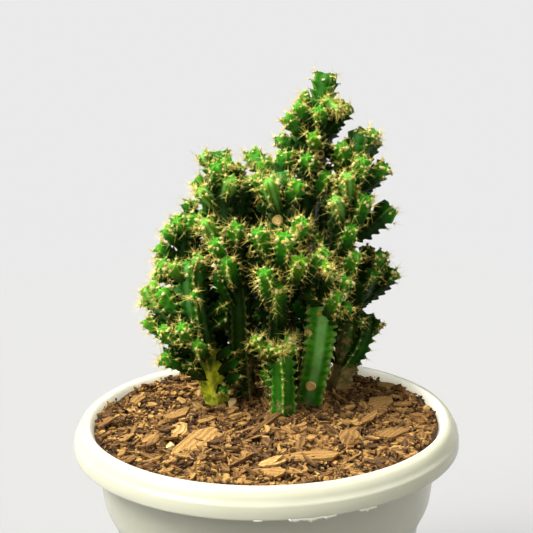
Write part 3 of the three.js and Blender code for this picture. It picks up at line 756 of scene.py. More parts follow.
STEMS = (
    StemPlan(
        "front_stem",
        path=((5.9, 6.4, 101), (6.1, 5.2, 112), (5.4, 3.2, 125.4)),
        girth=(4.7, 4.3), ribs=5, turn=-75,
        branches=(
            (0, 0.8, (-3.8, -1.2, 130.6), 2.6), (0, 0.88, (0.7, -1, 127.6), 2.1),
            (0, 0.9, (9.6, -0.4, 127.4), 2.1), (0, 0.86, (8.8, 3.6, 130.6), 2.3),
        ),
        bloom=0.12,
    ),
    StemPlan(
        "right_stem",
        path=((15.4, 17, 101), (17, 13.6, 112), (18.8, 9.4, 125), (20.6, 3.4, 144.6)),
        girth=(6.4, 7.2), ribs=4, turn=-50,
        branches=(
            (0, 0.93, (14, -4.4, 147.2), 3), (0, 0.95, (21.6, -3.4, 153), 3.2),
            (0, 0.9, (27.6, -2.4, 150.8), 3.2), (0, 0.82, (24, -7.8, 146.6), 2.9),
            (0, 0.76, (27.8, -4.6, 142.4), 2.7), (0, 0.62, (29, 2, 138), 2.8),
            (0, 0.96, (14.6, 5, 152.4), 3), (0, 0.5, (27, 10.6, 136.6), 3),
        ),
        bloom=0.9,
    ),
    StemPlan(
        "right_rear_stem",
        path=((27, 33, 101), (29.8, 29, 111), (34.8, 25.4, 121), (37.4, 23.8, 132)),
        girth=(5, 4.6), ribs=5, turn=-30,
        branches=(
            (0, 0.3, (41.4, 15.4, 153.4), 4.4, (32, 22.6, 134)), (1, 0.66, (46.2, 14.6, 150), 3),
            (1, 0.92, (42.6, 20.4, 155.6), 3), (1, 0.66, (37.2, 8.4, 151.6), 3),
            (1, 0.5, (34, 11.4, 147.6), 3), (1, 0.88, (39.4, 9, 157.4), 2.8),
            (1, 0.8, (36.2, 17.4, 158.4), 3.2), (1, 0.6, (44, 24.2, 150.4), 3),
            (0, 0.76, (41.8, 21.4, 130), 2.4), (0, 0.5, (38.4, 34, 124.4), 3.2),
            (1, 0.4, (34.6, 29, 147.8), 3.5), (0, 0.2, (29.6, 38, 121.4), 3.5),
        ),
        foot=Foot.CORKY,
    ),
    StemPlan(
        "right_tall_stem",
        path=(
            (15.6, 30, 101), (21, 24.4, 125), (25.6, 15.6, 150), (28.4, 11.8, 168),
            (31, 10.4, 184), (34.2, 12, 198.6),
        ),
        girth=(4.8, 4.8), ribs=4, turn=10,
        branches=(
            (0, 0.94, (37.6, 8.4, 199), 3), (0, 0.86, (25.8, 5, 195), 3.3),
            (0, 0.8, (32.6, 0.4, 190), 3.4), (0, 0.76, (27.4, -2, 185), 3.2),
            (0, 0.8, (41.6, 9, 187.6), 3.6), (0, 0.64, (43.8, 12, 173), 4.4),
            (0, 0.68, (23.6, -0.4, 177.4), 3.1), (0, 0.62, (34, 0.4, 178), 3.4),
            (0, 0.74, (25.6, 9.4, 190.4), 2.8), (0, 0.56, (29.4, 1.2, 168), 3.1),
            (0, 0.93, (34.6, 19, 199), 3.1), (0, 0.78, (40.6, 18.4, 185.4), 3.2),
            (0, 0.66, (36.6, 21, 176), 3.2), (0, 0.45, (31, 2, 158.4), 3.1),
            (0, 0.8, (29, 20, 189.4), 3.1), (0, 0.88, (38.8, 13.6, 196), 2.9),
        ),
    ),
    StemPlan(
        "tall_stem",
        path=(
            (4.4, 33.2, 101), (7.4, 29.6, 125), (12.2, 20.8, 150), (15.4, 15.2, 172),
            (18.4, 12.4, 196), (21.6, 12, 218),
        ),
        girth=(5.1, 4.2), ribs=4, turn=24,
        branches=(
            (0, 0.9, (13, 12.2, 211), 2.8), (0, 0.86, (11.4, 7, 207.8), 3),
            (0, 0.82, (8.4, 9.8, 204.4), 3.9), (0, 0.76, (5.6, 18, 197), 3.6),
            (0, 0.86, (18.6, 3.8, 206.2), 3.1), (0, 0.89, (22.6, 5.8, 209.2), 2.8),
            (0, 0.83, (28.6, 13.8, 208), 3.9), (0, 0.8, (26, 18.8, 202.4), 3),
            (0, 0.8, (16.6, 2.4, 197.8), 3.1), (0, 0.72, (14.4, 2.8, 191), 3.3),
            (0, 0.9, (20.6, 20.4, 212), 3), (0, 0.82, (15.8, 22.4, 204.6), 3.3),
            (0, 0.72, (20.8, 24, 193), 3.4), (0, 0.62, (7.6, 25.6, 185.4), 3.5),
            (0, 0.6, (19.4, 24.4, 179), 3.3), (0, 0.64, (21.6, 4.4, 185.4), 3.2),
            (0, 0.4, (0.4, 24.4, 157.4), 3.7), (0, 0.7, (10.8, 22, 191), 3.4),
        ),
    ),
    StemPlan(
        "centre_stem",
        path=((3.2, 21.6, 101), (5, 15.6, 122), (5.4, 7.4, 143), (6, 2.6, 164), (6, 4.4, 186)),
        girth=(4.7, 5), ribs=4, turn=-60,
        branches=(
            (0, 0.92, (0, 11.6, 189.2), 3.6), (0, 0.96, (7.2, 7, 192.4), 3.5),
            (0, 0.84, (1.6, -5.2, 184), 3.4), (0, 0.86, (11.4, -3.6, 183), 3.4),
            (0, 0.69, (12.6, -9.6, 171.4), 3.3), (0, 0.66, (-2.2, -11, 168.4), 3.4),
            (0, 0.86, (-2.8, 1.2, 185), 3.1), (0, 0.58, (6.8, -13.6, 167.4), 3.5),
            (0, 0.54, (11.8, -14, 159.8), 3.3), (0, 0.58, (19.8, -10.6, 161.4), 3.1),
            (0, 0.46, (0, -12.4, 155.6), 3.3), (0, 0.38, (4.6, -9.6, 150.4), 3.1),
            (0, 0.98, (-4, 18, 191.4), 4), (0, 0.3, (-0.8, 15.8, 138.4), 3),
        ),
        bloom=0.2,
    ),
    StemPlan(
        "middle_stem",
        path=(
            (-7.8, 23.4, 101), (-8.8, 15.8, 122), (-9, 8.6, 142), (-12.4, 6.6, 165),
            (-15.4, 8.2, 192.6),
        ),
        girth=(4.6, 5.2), ribs=5, turn=-40,
        branches=(
            (0, 0.93, (-20.2, 6, 192), 3), (0, 0.93, (-11, 2.4, 190), 3.1),
            (0, 0.87, (-15.2, -1.8, 188.8), 3.2), (0, 0.84, (-10, -3.4, 184.6), 3),
            (0, 0.87, (-7, 8, 188), 3.1), (0, 0.84, (-22.8, 8.4, 183.4), 3.2),
            (0, 0.8, (-20.8, 1, 180.6), 3.1), (0, 0.66, (-19.4, -3.6, 171), 3.3),
            (0, 0.66, (-8.8, -4.4, 169.4), 3.1), (0, 0.58, (-16, -6.2, 164.8), 3.3),
            (0, 0.5, (-12.2, -7, 158.6), 3.1), (0, 0.9, (-16.8, 16, 191.6), 3.1),
            (0, 0.8, (-10.4, 16.8, 183), 3.3), (0, 0.26, (-15.2, 14.6, 139.4), 3.2),
            (0, 0.42, (-3.4, 16.4, 153.6), 3.3), (0, 0.42, (-15.8, 1.2, 152.4), 2.9),
        ),
    ),
    StemPlan(
        "left_stem",
        path=(
            (-17.6, 18.2, 101), (-20, 15.2, 113), (-22.6, 10.6, 128), (-24.2, 6.2, 142),
            (-24.8, 3.6, 156),
        ),
        girth=(4.9, 5.2), ribs=5, turn=-62,
        branches=(
            (0, 0.6, (-36.2, 7.2, 145.4), 3.6), (0, 0.48, (-40.8, 12.6, 146.4), 4.2),
            (0, 0.4, (-41.6, 11, 135), 3.6), (0, 0.42, (-35.8, 5.4, 132.6), 3.3),
            (0, 0.27, (-35.6, 9.4, 122.8), 3.5), (0, 0.44, (-28.4, 0, 134.8), 3.2),
            (0, 0.36, (-23, 0.4, 128.8), 3), (0, 0.2, (-27, 8, 120), 3),
            (0, 0.94, (-21.4, -1.4, 159), 2.6), (0, 0.86, (-30.8, 1, 156), 3),
            (0, 0.34, (-37.6, 17.6, 133), 3.4), (0, 0.12, (-14.2, 11.2, 109), 2.4),
            (0, 0.19, (-31, 15.6, 119.6), 3.3),
        ),
        foot=Foot.YELLOW, bloom=0.3,
    ),
    StemPlan(
        "left_rear_stem",
        path=(
            (-16, 33, 101), (-19.2, 28, 122), (-24, 20.6, 143), (-26.8, 16.2, 160),
            (-25.4, 13.4, 171.6),
        ),
        girth=(5.8, 5), ribs=4, turn=15,
        branches=(
            (0, 0.68, (-36, 11, 154.4), 3.3), (0, 0.74, (-37, 15.4, 160), 3.5),
            (0, 0.84, (-33.8, 11.8, 166.4), 3.4), (0, 0.9, (-29.6, 7.6, 170), 3.3),
            (0, 0.96, (-25.2, 16, 175.6), 3.2), (0, 0.88, (-22.8, 5.8, 171.4), 3),
            (0, 0.62, (-37.4, 23, 154.4), 3.4), (0, 0.8, (-33, 23, 166.4), 3.3),
            (0, 0.44, (-35, 27, 142), 3.6), (0, 0.28, (-32.6, 29.4, 128.6), 3.4),
            (0, 0.56, (-25, 32, 151), 3.4), (0, 0.84, (-22, 24.6, 170), 3.3),
            (0, 0.3, (-16.4, 24.4, 142), 3.6), (0, 0.56, (-19.4, 14.2, 162.6), 3.2),
        ),
    ),
    StemPlan(
        "rear_stem",
        path=(
            (-5.4, 45.2, 101), (-5.6, 43, 122), (-8.8, 37.6, 144), (-9.4, 29.4, 166),
            (-6, 25.4, 183),
        ),
        girth=(6.6, 5), ribs=4, turn=50,
        branches=(
            (0, 0.32, (-17, 48.4, 139.4), 3.6), (0, 0.26, (-2, 53, 135), 3.5),
            (0, 0.46, (-2.6, 49, 151.6), 3.6), (0, 0.5, (-19.4, 43, 153.8), 3.4),
            (0, 0.66, (-17.6, 35, 167.4), 3.4), (0, 0.64, (-6.6, 41, 167), 3.4),
            (0, 0.8, (-14.6, 26, 180), 3.2), (0, 0.8, (-2, 35, 179.4), 3.3),
            (0, 0.16, (-15.6, 47.4, 123), 3.3), (0, 0.2, (-1.8, 29, 131), 3.4),
            (0, 0.62, (-0.4, 32, 178), 3.6), (0, 0.56, (2.4, 32, 168.6), 3.6),
        ),
    ),
    StemPlan(
        "right_back_stem",
        path=(
            (18.8, 42.8, 101), (20, 46.4, 118), (21.4, 43.6, 138), (22, 36.6, 158),
            (21, 33, 173),
        ),
        girth=(6.4, 5.8), ribs=4, turn=5,
        branches=(
            (0, 0.24, (30.4, 52, 130), 3.5), (0, 0.3, (14, 56, 134), 3.5),
            (0, 0.5, (32.4, 43.6, 149.4), 3.5), (0, 0.5, (14.6, 50, 150), 3.4),
            (0, 0.7, (30.8, 35.6, 163), 3.4), (0, 0.72, (12.4, 40.4, 171), 3.3),
            (0, 0.86, (25.6, 30.2, 179.6), 3.2), (0, 0.9, (14.4, 32, 178.2), 3.1),
            (0, 0.12, (12.2, 50.4, 123), 3.6), (0, 0.4, (32, 37.6, 133.4), 3.3),
        ),
    ),
)

SOIL_LEVEL = 101.0


@dataclass(frozen=True)
class Filler:
    """One more head, laid in a gap: its stem, root, tip and rib radius."""

    stem: str
    root: Point
    tip: Point
    radius: float
    ribs: int = 4
    turn: float = 0.6


FILLERS = (
    Filler("tall_stem", (17.6, 14.0, 190.0), (11.4, 18.4, 197.2), 3.0),
    Filler("right_tall_stem", (29.6, 12.0, 184.0), (22.0, 16.4, 193.0), 2.8),
    Filler("left_stem", (-33.0, 14.0, 136.0), (-42.6, 14.4, 141.0), 3.0),
    Filler("left_rear_stem", (-29.0, 18.0, 146.0), (-38.6, 16.4, 149.8), 3.0),
    Filler("left_stem", (-29.5, 14.0, 115.5), (-37.2, 13.4, 119.6), 2.6),
    Filler("centre_stem", (6.0, 8.0, 170.0), (-0.8, 14.0, 174.6), 3.0),
)


# ---------------------------------------------------------------- a limb


class Rank(Enum):
    """How a limb sits in the plant."""

    COLUMN = 0
    BRANCH = 1
    HEAD = 2


@dataclass(frozen=True)
class Form:
    """How the ribs of a rank of limb are cut, and how it ages.

    Attributes:
        age: 0 young to 1 old, at the root and at the tip.
        cushion: Radius of an areole's cushion.
        valley: Furrow radius as a share of the rib radius.
        tooth: Depth from a tooth to the notch beside it near the root, in rib radii.
        tip_tooth: The same near the tip.
        pitch: Spacing of the areoles along a rib.
        per_rib: Points round the section for each rib.
        per_tooth: Rows of points for each tooth.
        crown: Height of the crown in rib radii.
        lift: How far the ribs' ends rise round the sunk middle of the crown, in rib radii.
        edge: How closely the teeth keep to the ribs' edges.
    """

    age: tuple[float, float]
    cushion: float
    valley: float
    tooth: float
    tip_tooth: float
    pitch: float
    per_rib: int
    per_tooth: int
    crown: float = 0.85
    lift: float = 0.2
    edge: float = 1.0


FORMS = {
    Rank.COLUMN: Form(
        age=(1.0, 0.5), cushion=0.4, valley=0.70, tooth=0.12, tip_tooth=0.8,
        pitch=3.0, per_rib=8, per_tooth=4, lift=0.16, edge=1.8,
    ),
    Rank.BRANCH: Form(
        age=(0.75, 0.12), cushion=0.42, valley=0.73, tooth=0.36, tip_tooth=0.64,
        pitch=2.7, per_rib=6, per_tooth=4,
    ),
    Rank.HEAD: Form(
        age=(0.4, 0.0), cushion=0.36, valley=0.64, tooth=0.38, tip_tooth=0.48,
        pitch=2.2, per_rib=6, per_tooth=3, lift=0.34,
    ),
}


@dataclass
class Areoles:
    """Wool cushions and their spines, one row for each areole.

    Attributes:
        foot: Where it sits on the skin.
        out: The way it points.
        age: 0 young to 1 old.
        size: Radius of its cushion.
        armed: Share of the full number of spines that it carries.
        shade: Painted shade, 0 in the open to 1 deep in the clump.
    """

    foot: Array
    out: Array
    age: Array
    size: Array
    armed: Array
    shade: Array

    @staticmethod
    def gather(groups: "list[Areoles]") -> "Areoles":
        """All the groups' areoles in one."""
        columns = zip(*(group.rows() for group in groups))
        return Areoles(*(np.concatenate(column) for column in columns))

    def rows(self) -> tuple[Array, ...]:
        """The arrays in order."""
        return self.foot, self.out, self.age, self.size, self.armed, self.shade

    def keep(self, chosen: Array) -> "Areoles":
        """Those that a mask chooses."""
        return Areoles(*(part[chosen] for part in self.rows()))


class Limb:
    """A ribbed limb along a smooth path, with a frame at any distance from its root.

    Attributes:
        SAMPLES: Steps of the middle line.
        STOUT: Rib radius over which a branch stands clear of its neighbours.
        CROWN_TURNS: Where the crown's rows of points lie, as shares of a quarter turn.
        SUNK: How far the crown's middle lies under the limb's end, in rib radii.
        CLUB: How much a column swells towards its tip, over the last lengths of CLUB_OVER.
        TOOTH_DATUM: The part of a tooth's wave that lies under the plain rib.
        WANDER: How far the ribs stray from the plain radius.
        NECK: Share of the full radius at a branch's root.
        PEG: Depths of the rows that carry a column down into the mix.
        PEG_TIP: Girth of the peg's lowest row, as a share of the foot's.
        HIDDEN: Painted shade on a branch's lower part, and HIDDEN_TO the shares over which it ends.
        CROWN_FELT: How many extra cushions crowd each crown.
        FELT_TURN: The turn from one of these to the next, in radians.
        FELT_ARMED: Their share of the full number of spines, COLUMN_ARMED a column's.
    """

    SAMPLES = 48
    STOUT = 4.3
    CROWN_TURNS = (0.26, 0.5, 0.7, 0.86, 0.96)
    SUNK = 0.1
    CLUB, CLUB_OVER = 0.14, (11.0, 4.0)
    TOOTH_DATUM = 0.68
    WANDER = 0.035
    NECK = 0.56
    PEG = (-24.0, -12.0, -3.0)
    PEG_TIP = 0.7
    HIDDEN, HIDDEN_TO = 0.9, (0.32, 0.88)
    CROWN_FELT = 20
    FELT_TURN = 2.4
    FELT_ARMED, COLUMN_ARMED = 0.28, 0.42

    def __init__(
        self,
        points: Array,
        girth: tuple[float, float],
        ribs: int,
        turn: float,
        rank: Rank,
        tint: float,
    ) -> None:
        """Lays out the path.

        Args:
            points: Control points of the limb's middle line, from its root.
            girth: Rib radius at the root and at the tip.
            ribs: How many ribs it has.
            turn: Bearing of the first rib in radians, from the frame's side.
            rank: Column, branch or small head.
            tint: A fixed draw that sets its shade apart.
        """
        self.girth, self.ribs, self.turn, self.rank, self.tint = girth, ribs, turn, rank, tint
        self.form = FORMS[rank]
        self.line = spline(points, self.SAMPLES)
        gaps = np.linalg.norm(np.diff(self.line, axis=0), axis=1)
        self.distance = np.concatenate([[0.0], np.cumsum(gaps)])
        self.length = self.distance[-1]
        self.heading = unit(np.gradient(self.line, axis=0))
        run = self.line[-1] - self.line[0]
        self.reference = np.eye(3)[np.argmin(np.abs(run))]
        self.crown = self.length - self.form.crown * girth[1]

    def frames(self, s: Array) -> tuple[Array, Array, Array, Array]:
        """Middle, heading, side and up at distances s, clipped to the limb.

        Args:
            s: Distances from the root.

        Returns:
            Four arrays of vectors, the last three unit ones square to each other.
        """
        held = np.clip(s, 0.0, self.length)
        pick = [np.interp(held, self.distance, self.line[:, k]) for k in range(3)]
        centre = np.stack(pick, axis=-1)
        pick = [np.interp(held, self.distance, self.heading[:, k]) for k in range(3)]
        along = unit(np.stack(pick, axis=-1))
        side = unit(np.cross(self.reference, along))
        return centre, along, side, np.cross(along, side)

    def top(self) -> tuple[Array, Array]:
        """Middle of the sunk crown and the heading there, one row each."""
        return self.frames(np.array([self.length - self.SUNK * self.girth[1]]))[:2]

    def rib_angle(self, rib: Array | int) -> Array | float:
        """Bearing of a rib."""
        return self.turn + 2.0 * np.pi * rib / self.ribs

    def outward(self, s: Array, angle: Array) -> Array:
        """Direction square to the path at a bearing."""
        return swung(*self.frames(s)[2:], angle)

    def ridge(self, angle: Array) -> tuple[Array, Array]:
        """Nearness to a rib's edge, 1 on it and 0 in the furrow, and which rib that is."""
        turns = self.ribs * (angle - self.turn) / (2.0 * np.pi)
        return 1.0 - np.abs(np.sin(np.pi * turns)), np.round(turns).astype(int) % self.ribs

    def surface(self, s: Array, angle: Array) -> Array:
        """Points of the skin at distances s and bearings, arrays of one shape.

        The rib radius is cut in towards the furrows, swollen to a tooth at each areole, drawn in
        to a neck at a branch's root and closed as a quarter of a superellipse over the crown,
        where the ribs' ends rise round the sunk middle.

        Args:
            s: Distances from the root.
            angle: Bearings in radians, from the frame's side.

        Returns:
            A point for each pair.
        """
        form = self.form
        ridge, rib = self.ridge(angle)
        plain = mix(*self.girth, np.clip(s / self.length, 0.0, 1.0))
        if self.rank is Rank.COLUMN:
            first, last = (self.length - before for before in self.CLUB_OVER)
            plain = plain * (1.0 + self.CLUB * step(first, last, s))
        section = 1.0 - (1.0 - form.valley) * (1.0 - ridge) ** 0.92
        phase = (s - self.first(rib)) / form.pitch
        tooth = 0.5 + 0.5 * np.cos(2.0 * np.pi * phase)
        depth = mix(form.tooth, form.tip_tooth, np.clip(s / self.length, 0.0, 1.0) ** 2)
        rise = np.clip((s - self.crown) / (self.length - self.crown), 0.0, 1.0)
        dome = np.cos(np.arcsin(rise ** (1.0 / 0.9))) ** 0.7
        swell = 1.0 + depth * (tooth - self.TOOTH_DATUM) * ridge**form.edge * (1.0 - 0.5 * rise)
        wander = self.WANDER * np.sin(0.9 * s + 2.0 * angle + 6.3 * self.tint)
        radius = plain * self.neck(s) * section * swell * dome * (1.0 + wander)
        lift = form.lift * self.girth[1] * step(0.15, 0.8, rise) * ridge
        lift = lift * (1.0 - step(0.93, 1.0, rise))
        lift = lift + 0.7 * depth * form.pitch * tooth * ridge**1.5 * (1.0 - rise)
        centre, along, side, up = self.frames(s)
        out = swung(side, up, angle)
        return centre + out * radius[..., None] + along * lift[..., None]

    def neck(self, s: Array) -> Array:
        """Share of the full radius near the root, where a branch leaves its parent.

        Args:
            s: Distances from the root.

        Returns:
            Shares: a quarter wave from the root's to 1.
        """
        if self.rank is Rank.COLUMN:
            return np.ones_like(s)
        reach = min(max(self.crown, 0.3 * self.length), 3.0 * self.girth[1])
        swell = np.sin(0.5 * np.pi * np.clip(s / reach, 0.0, 1.0)) ** 0.8
        return self.NECK + (1.0 - self.NECK) * swell

    def first(self, rib: Array | int) -> Array | float:
        """Distance of a rib's first areole: neighbouring ribs are staggered."""
        return self.form.pitch * (0.4 + 0.5 * (rib % 2))

    def rows(self) -> Array:
        """Distances of the rows of points: on each tooth and between, closer over the crown.

        Returns:
            Distances from the root, in order.
        """
        gap = self.form.pitch / self.form.per_tooth
        body = np.arange(0.0, self.crown - 0.3 * gap, gap)
        turns = 0.5 * np.pi * np.array((0.0, *self.CROWN_TURNS))
        crown = self.crown + (self.length - self.crown) * np.sin(turns) ** 0.9
        return np.concatenate([body, crown])

    def age(self, s: Array) -> Array:
        """0 where the skin is young to 1 where it is old: a short column is younger."""
        grown = 0.5 + 0.5 * step(36.0, 76.0, self.length) if self.rank is Rank.COLUMN else 1.0
        return grown * mix(*self.form.age, np.clip(s / self.length, 0.0, 1.0))

    def weave(self, shell: Shell, plan: StemPlan, crowding: "Crowding") -> None:
        """Adds the skin to a shell, with the numbers that its finish reads.

        Args:
            shell: Where the skin goes.
            plan: The stem's plan, for its wax and its foot.
            crowding: The air round the limbs, for the painted shade.
        """
        angle = self.turn + bearings(self.ribs * self.form.per_rib)
        grid_s, grid_angle = np.meshgrid(self.rows(), angle, indexing="ij")
        grid = self.surface(grid_s, grid_angle)
        ends = np.vstack([self.line[:1], self.top()[0]])
        bloom = plan.bloom if self.rank is Rank.COLUMN else 0.0
        if self.rank is Rank.COLUMN:
            grid, grid_s, grid_angle, ends = self.rooted(grid, grid_s, grid_angle, ends)
        share = np.clip(grid_s / self.length, 0.0, 1.0)
        age = self.age(grid_s) * (1.0 - 0.4 * bloom)
        numbers = {"ridge": self.ridge(grid_angle)[0], "age": age, **self.wear(share, plan)}
        closed = {
            key: np.append(value.ravel(), [value.flat[0], value.flat[-1]])
            for key, value in numbers.items()
        }
        # Painted shade: the crowding's darkening and a branch's darker lower part, none on a waxy
        # column.
        shade = crowding.shade(np.vstack([grid.reshape(-1, 3), ends]))
        shade = self.with_painted_root_shade(shade, np.append(share.ravel(), [0.0, 1.0])) * (1.0 - bloom)
        shell.tube(grid, ends, tint=self.tint, shade=shade, **closed)

    def with_painted_root_shade(self, shade: Array, share: Array) -> Array:
        """The painted shade on this limb: a branch is darkened among its neighbours but for its
        end.
        """
        if self.rank is not Rank.BRANCH or self.girth[1] > self.STOUT:
            return shade
        return np.maximum(shade, self.HIDDEN * (1.0 - step(*self.HIDDEN_TO, share)))

    def rooted(
        self, grid: Array, grid_s: Array, grid_angle: Array, ends: Array
    ) -> tuple[Array, ...]:
        """The column's grid carried straight down into the mix as a tapering peg.

        Args:
            grid: Points of the skin, one row at each distance.
            grid_s: Their distances.
            grid_angle: Their bearings.
            ends: Middles of the foot and of the crown.

        Returns:
            The same four with the peg's rows put first and its lowest middle as the foot's.
        """
        depths = np.array(self.PEG)
        middle = self.line[0]
        share = mix(self.PEG_TIP, 1.0, (depths - depths[0]) / -depths[0])
        peg = middle + (grid[0] - middle) * share[:, None, None] + depths[:, None, None] * UP
        grid_s = np.vstack([np.zeros((len(depths), grid_s.shape[1])), grid_s])
        grid_angle = np.vstack([grid_angle[: len(depths)], grid_angle])
        ends = np.stack([middle + depths[0] * UP, ends[1]])
        return np.concatenate([peg, grid]), grid_s, grid_angle, ends

    def wear(self, share: Array, plan: StemPlan) -> dict[str, Array]:
        """Bloom, cork and sun of the skin at shares of the length.

        Args:
            share: Shares of the length, from the root.
            plan: The stem's plan.

        Returns:
            The three numbers by name.
        """
        if self.rank is not Rank.COLUMN:
            waxy = 0.65 if self.tint > 0.86 else 0.1
            corky = 0.52 if plan.foot is Foot.CORKY and self.girth[1] > self.STOUT else 0.0
            cork = corky * (1.0 - step(0.3, 0.8, share))
            return {"bloom": np.full_like(share, waxy), "cork": cork, "sun": 0.0 * share}
        corky, reach = CORK[plan.foot]
        reach = reach * (1.0 - 0.6 * plan.bloom)
        sunny = 1.0 - step(0.12, 0.5, share) if plan.foot is Foot.YELLOW else 0.0 * share
        cork = corky * (1.0 - step(0.2 * reach, reach, share))
        bloom = plan.bloom * mix(0.3, 1.15, step(0.0, 0.75, share))
        return {"bloom": np.minimum(bloom, 1.0), "cork": cork, "sun": sunny}

    def areoles(self) -> Areoles:
        """The areoles along the ribs, those round the crown and the tuft at its middle.

        Returns:
            Their places on the skin, with the directions leaning towards the tip.
        """
        form, column = self.form, self.rank is Rank.COLUMN
        ribs = np.arange(self.ribs)
        count = max(int((self.crown + 0.3 * form.pitch) / form.pitch) + 1, 1)
        s = self.first(ribs)[:, None] + form.pitch * np.arange(count)
        rib = np.broadcast_to(ribs[:, None], s.shape)
        lowest = 2.0 if column else 0.35 * self.length
        held = (s < self.crown + 0.25 * form.pitch) & (s > lowest)
        s, rib = s[held], rib[held]
        high = np.full(self.ribs, self.crown + 0.78 * (self.length - self.crown))
        all_s = np.concatenate([s, high])
        angle = self.rib_angle(np.concatenate([rib, ribs]))
        foot = self.surface(all_s, angle)
        out = self.outward(all_s, angle)
        along = self.frames(all_s)[1]
        lean = np.concatenate([np.full(len(s), 0.3), np.full(self.ribs, 1.1)])
        out = unit(out + along * lean[:, None])
        end, heading = self.top()
        size = np.concatenate([np.full(len(s), form.cushion), np.full(self.ribs, 0.56), [0.66]])
        age = np.append(self.age(all_s), 0.0)
        felt_s, felt_angle, felt_size = self.felt()
        crowd = self.surface(felt_s, felt_angle) + 0.3 * self.frames(felt_s)[1]
        crowd_out = unit(self.outward(felt_s, felt_angle) + 1.6 * self.frames(felt_s)[1])
        size = size * mix(1.0, 0.8, age)
        below = np.concatenate([all_s / self.length, np.ones(1 + len(felt_size))])
        own = np.full(len(size), self.COLUMN_ARMED if column else 1.0)
        return Areoles(
            foot=np.vstack([foot, end, crowd]),
            out=np.vstack([out, heading, crowd_out]),
            age=np.append(age, 0.0 * felt_s),
            size=np.append(size, felt_size),
            armed=np.append(own, np.full(len(felt_size), self.FELT_ARMED)),
            shade=self.with_painted_root_shade(0.0 * below, below),
        )

    def felt(self) -> tuple[Array, Array, Array]:
        """Distances, bearings and sizes of the extra cushions crowded over the crown.

        Returns:
            The three arrays, along a turning line from the crown's edge to its middle.
        """
        order = np.arange(self.CROWN_FELT)
        turn = order * self.FELT_TURN + 6.3 * self.tint
        turn = turn + 0.9 * np.sin(5.0 * turn)
        high = mix(0.2, 0.96, (order + 0.5) / self.CROWN_FELT)
        size = 0.33 + 0.45 * np.sin(7.0 * turn) ** 4
        stout = 0.6 + 0.14 * self.girth[1]
        return self.crown + (self.length - self.crown) * high, turn, size * stout


# ---------------------------------------------------------------- growth


class Crowding:
    """How thickly limbs fill the air over a point, on a grid of small cells.

    Attributes:
        CELL: Width of a cell, MARGIN the air left round the plant.
        TOWARDS: The way that light comes from.
        AHEAD: How far that way the air is looked at, and the weight of what is found.
        REACH: Cells round a limb's middle that it may fill, SPREAD those that blur each.
        THIN: Filling that gives no shade, THICK that gives full shade.
    """

    CELL = 2.0
    MARGIN = 14.0
    TOWARDS = np.array([-0.40, -0.52, 0.75])
    AHEAD = ((3.0, 0.4), (8.0, 0.35), (14.0, 0.25))
    REACH, SPREAD = 4, 2
    THIN, THICK = 0.12, 0.36

    def __init__(self, limbs: "list[Limb]") -> None:
        """Fills the cells inside the limbs and spreads them over their neighbours.

        Args:
            limbs: Every limb of the clump.
        """
        share = np.linspace(0.0, 1.0, 28)
        middles = np.concatenate([limb.frames(share * limb.length)[0] for limb in limbs])
        radius = np.concatenate([0.85 * mix(*limb.girth, share) for limb in limbs])
        self.low = middles.min(axis=0) - self.MARGIN
        size = np.ceil((middles.max(axis=0) + self.MARGIN - self.low) / self.CELL).astype(int) + 1
        near = np.arange(-self.REACH, self.REACH + 1) * self.CELL
        ball = np.stack(np.meshgrid(near, near, near, indexing="ij"), axis=-1).reshape(-1, 3)
        inside = np.linalg.norm(ball, axis=1)[None] <= radius[:, None]
        places = (middles[:, None] + ball[None])[inside]
        cells = np.clip(np.round((places - self.low) / self.CELL).astype(int), 0, size - 1)
        grid = np.zeros(size)
        grid[tuple(cells.T)] = 1.0
        for axis in (0, 1, 2, 0, 1, 2):
            shifts = range(-self.SPREAD, self.SPREAD + 1)
            grid = sum(np.roll(grid, shift, axis) for shift in shifts) / len(shifts)
        self.grid = grid

    def shade(self, points: Array) -> Array:
        """Painted shade of skin and wool: 0 in the open to 1 deep in the clump, for points."""
        looks = (share * self.filled(points + self.TOWARDS * reach) for reach, share in self.AHEAD)
        return step(self.THIN, self.THICK, sum(looks))

    def filled(self, points: Array) -> Array:
        """How full the air is at points, between the nearest cells.

        Args:
            points: Points in millimetres.

        Returns:
            0 empty to 1 full, weighted by the eight cells round each point.
        """
        places = (points - self.low) / self.CELL
        whole = np.clip(np.floor(places).astype(int), 0, np.array(self.grid.shape) - 2)
        part = np.clip(places - whole, 0.0, 1.0)
        total = 0.0
        for corner in np.ndindex(2, 2, 2):
            weight = np.prod(np.where(np.array(corner) == 1, part, 1.0 - part), axis=-1)
            total = total + weight * self.grid[tuple(np.moveaxis(whole + corner, -1, 0))]
        return total


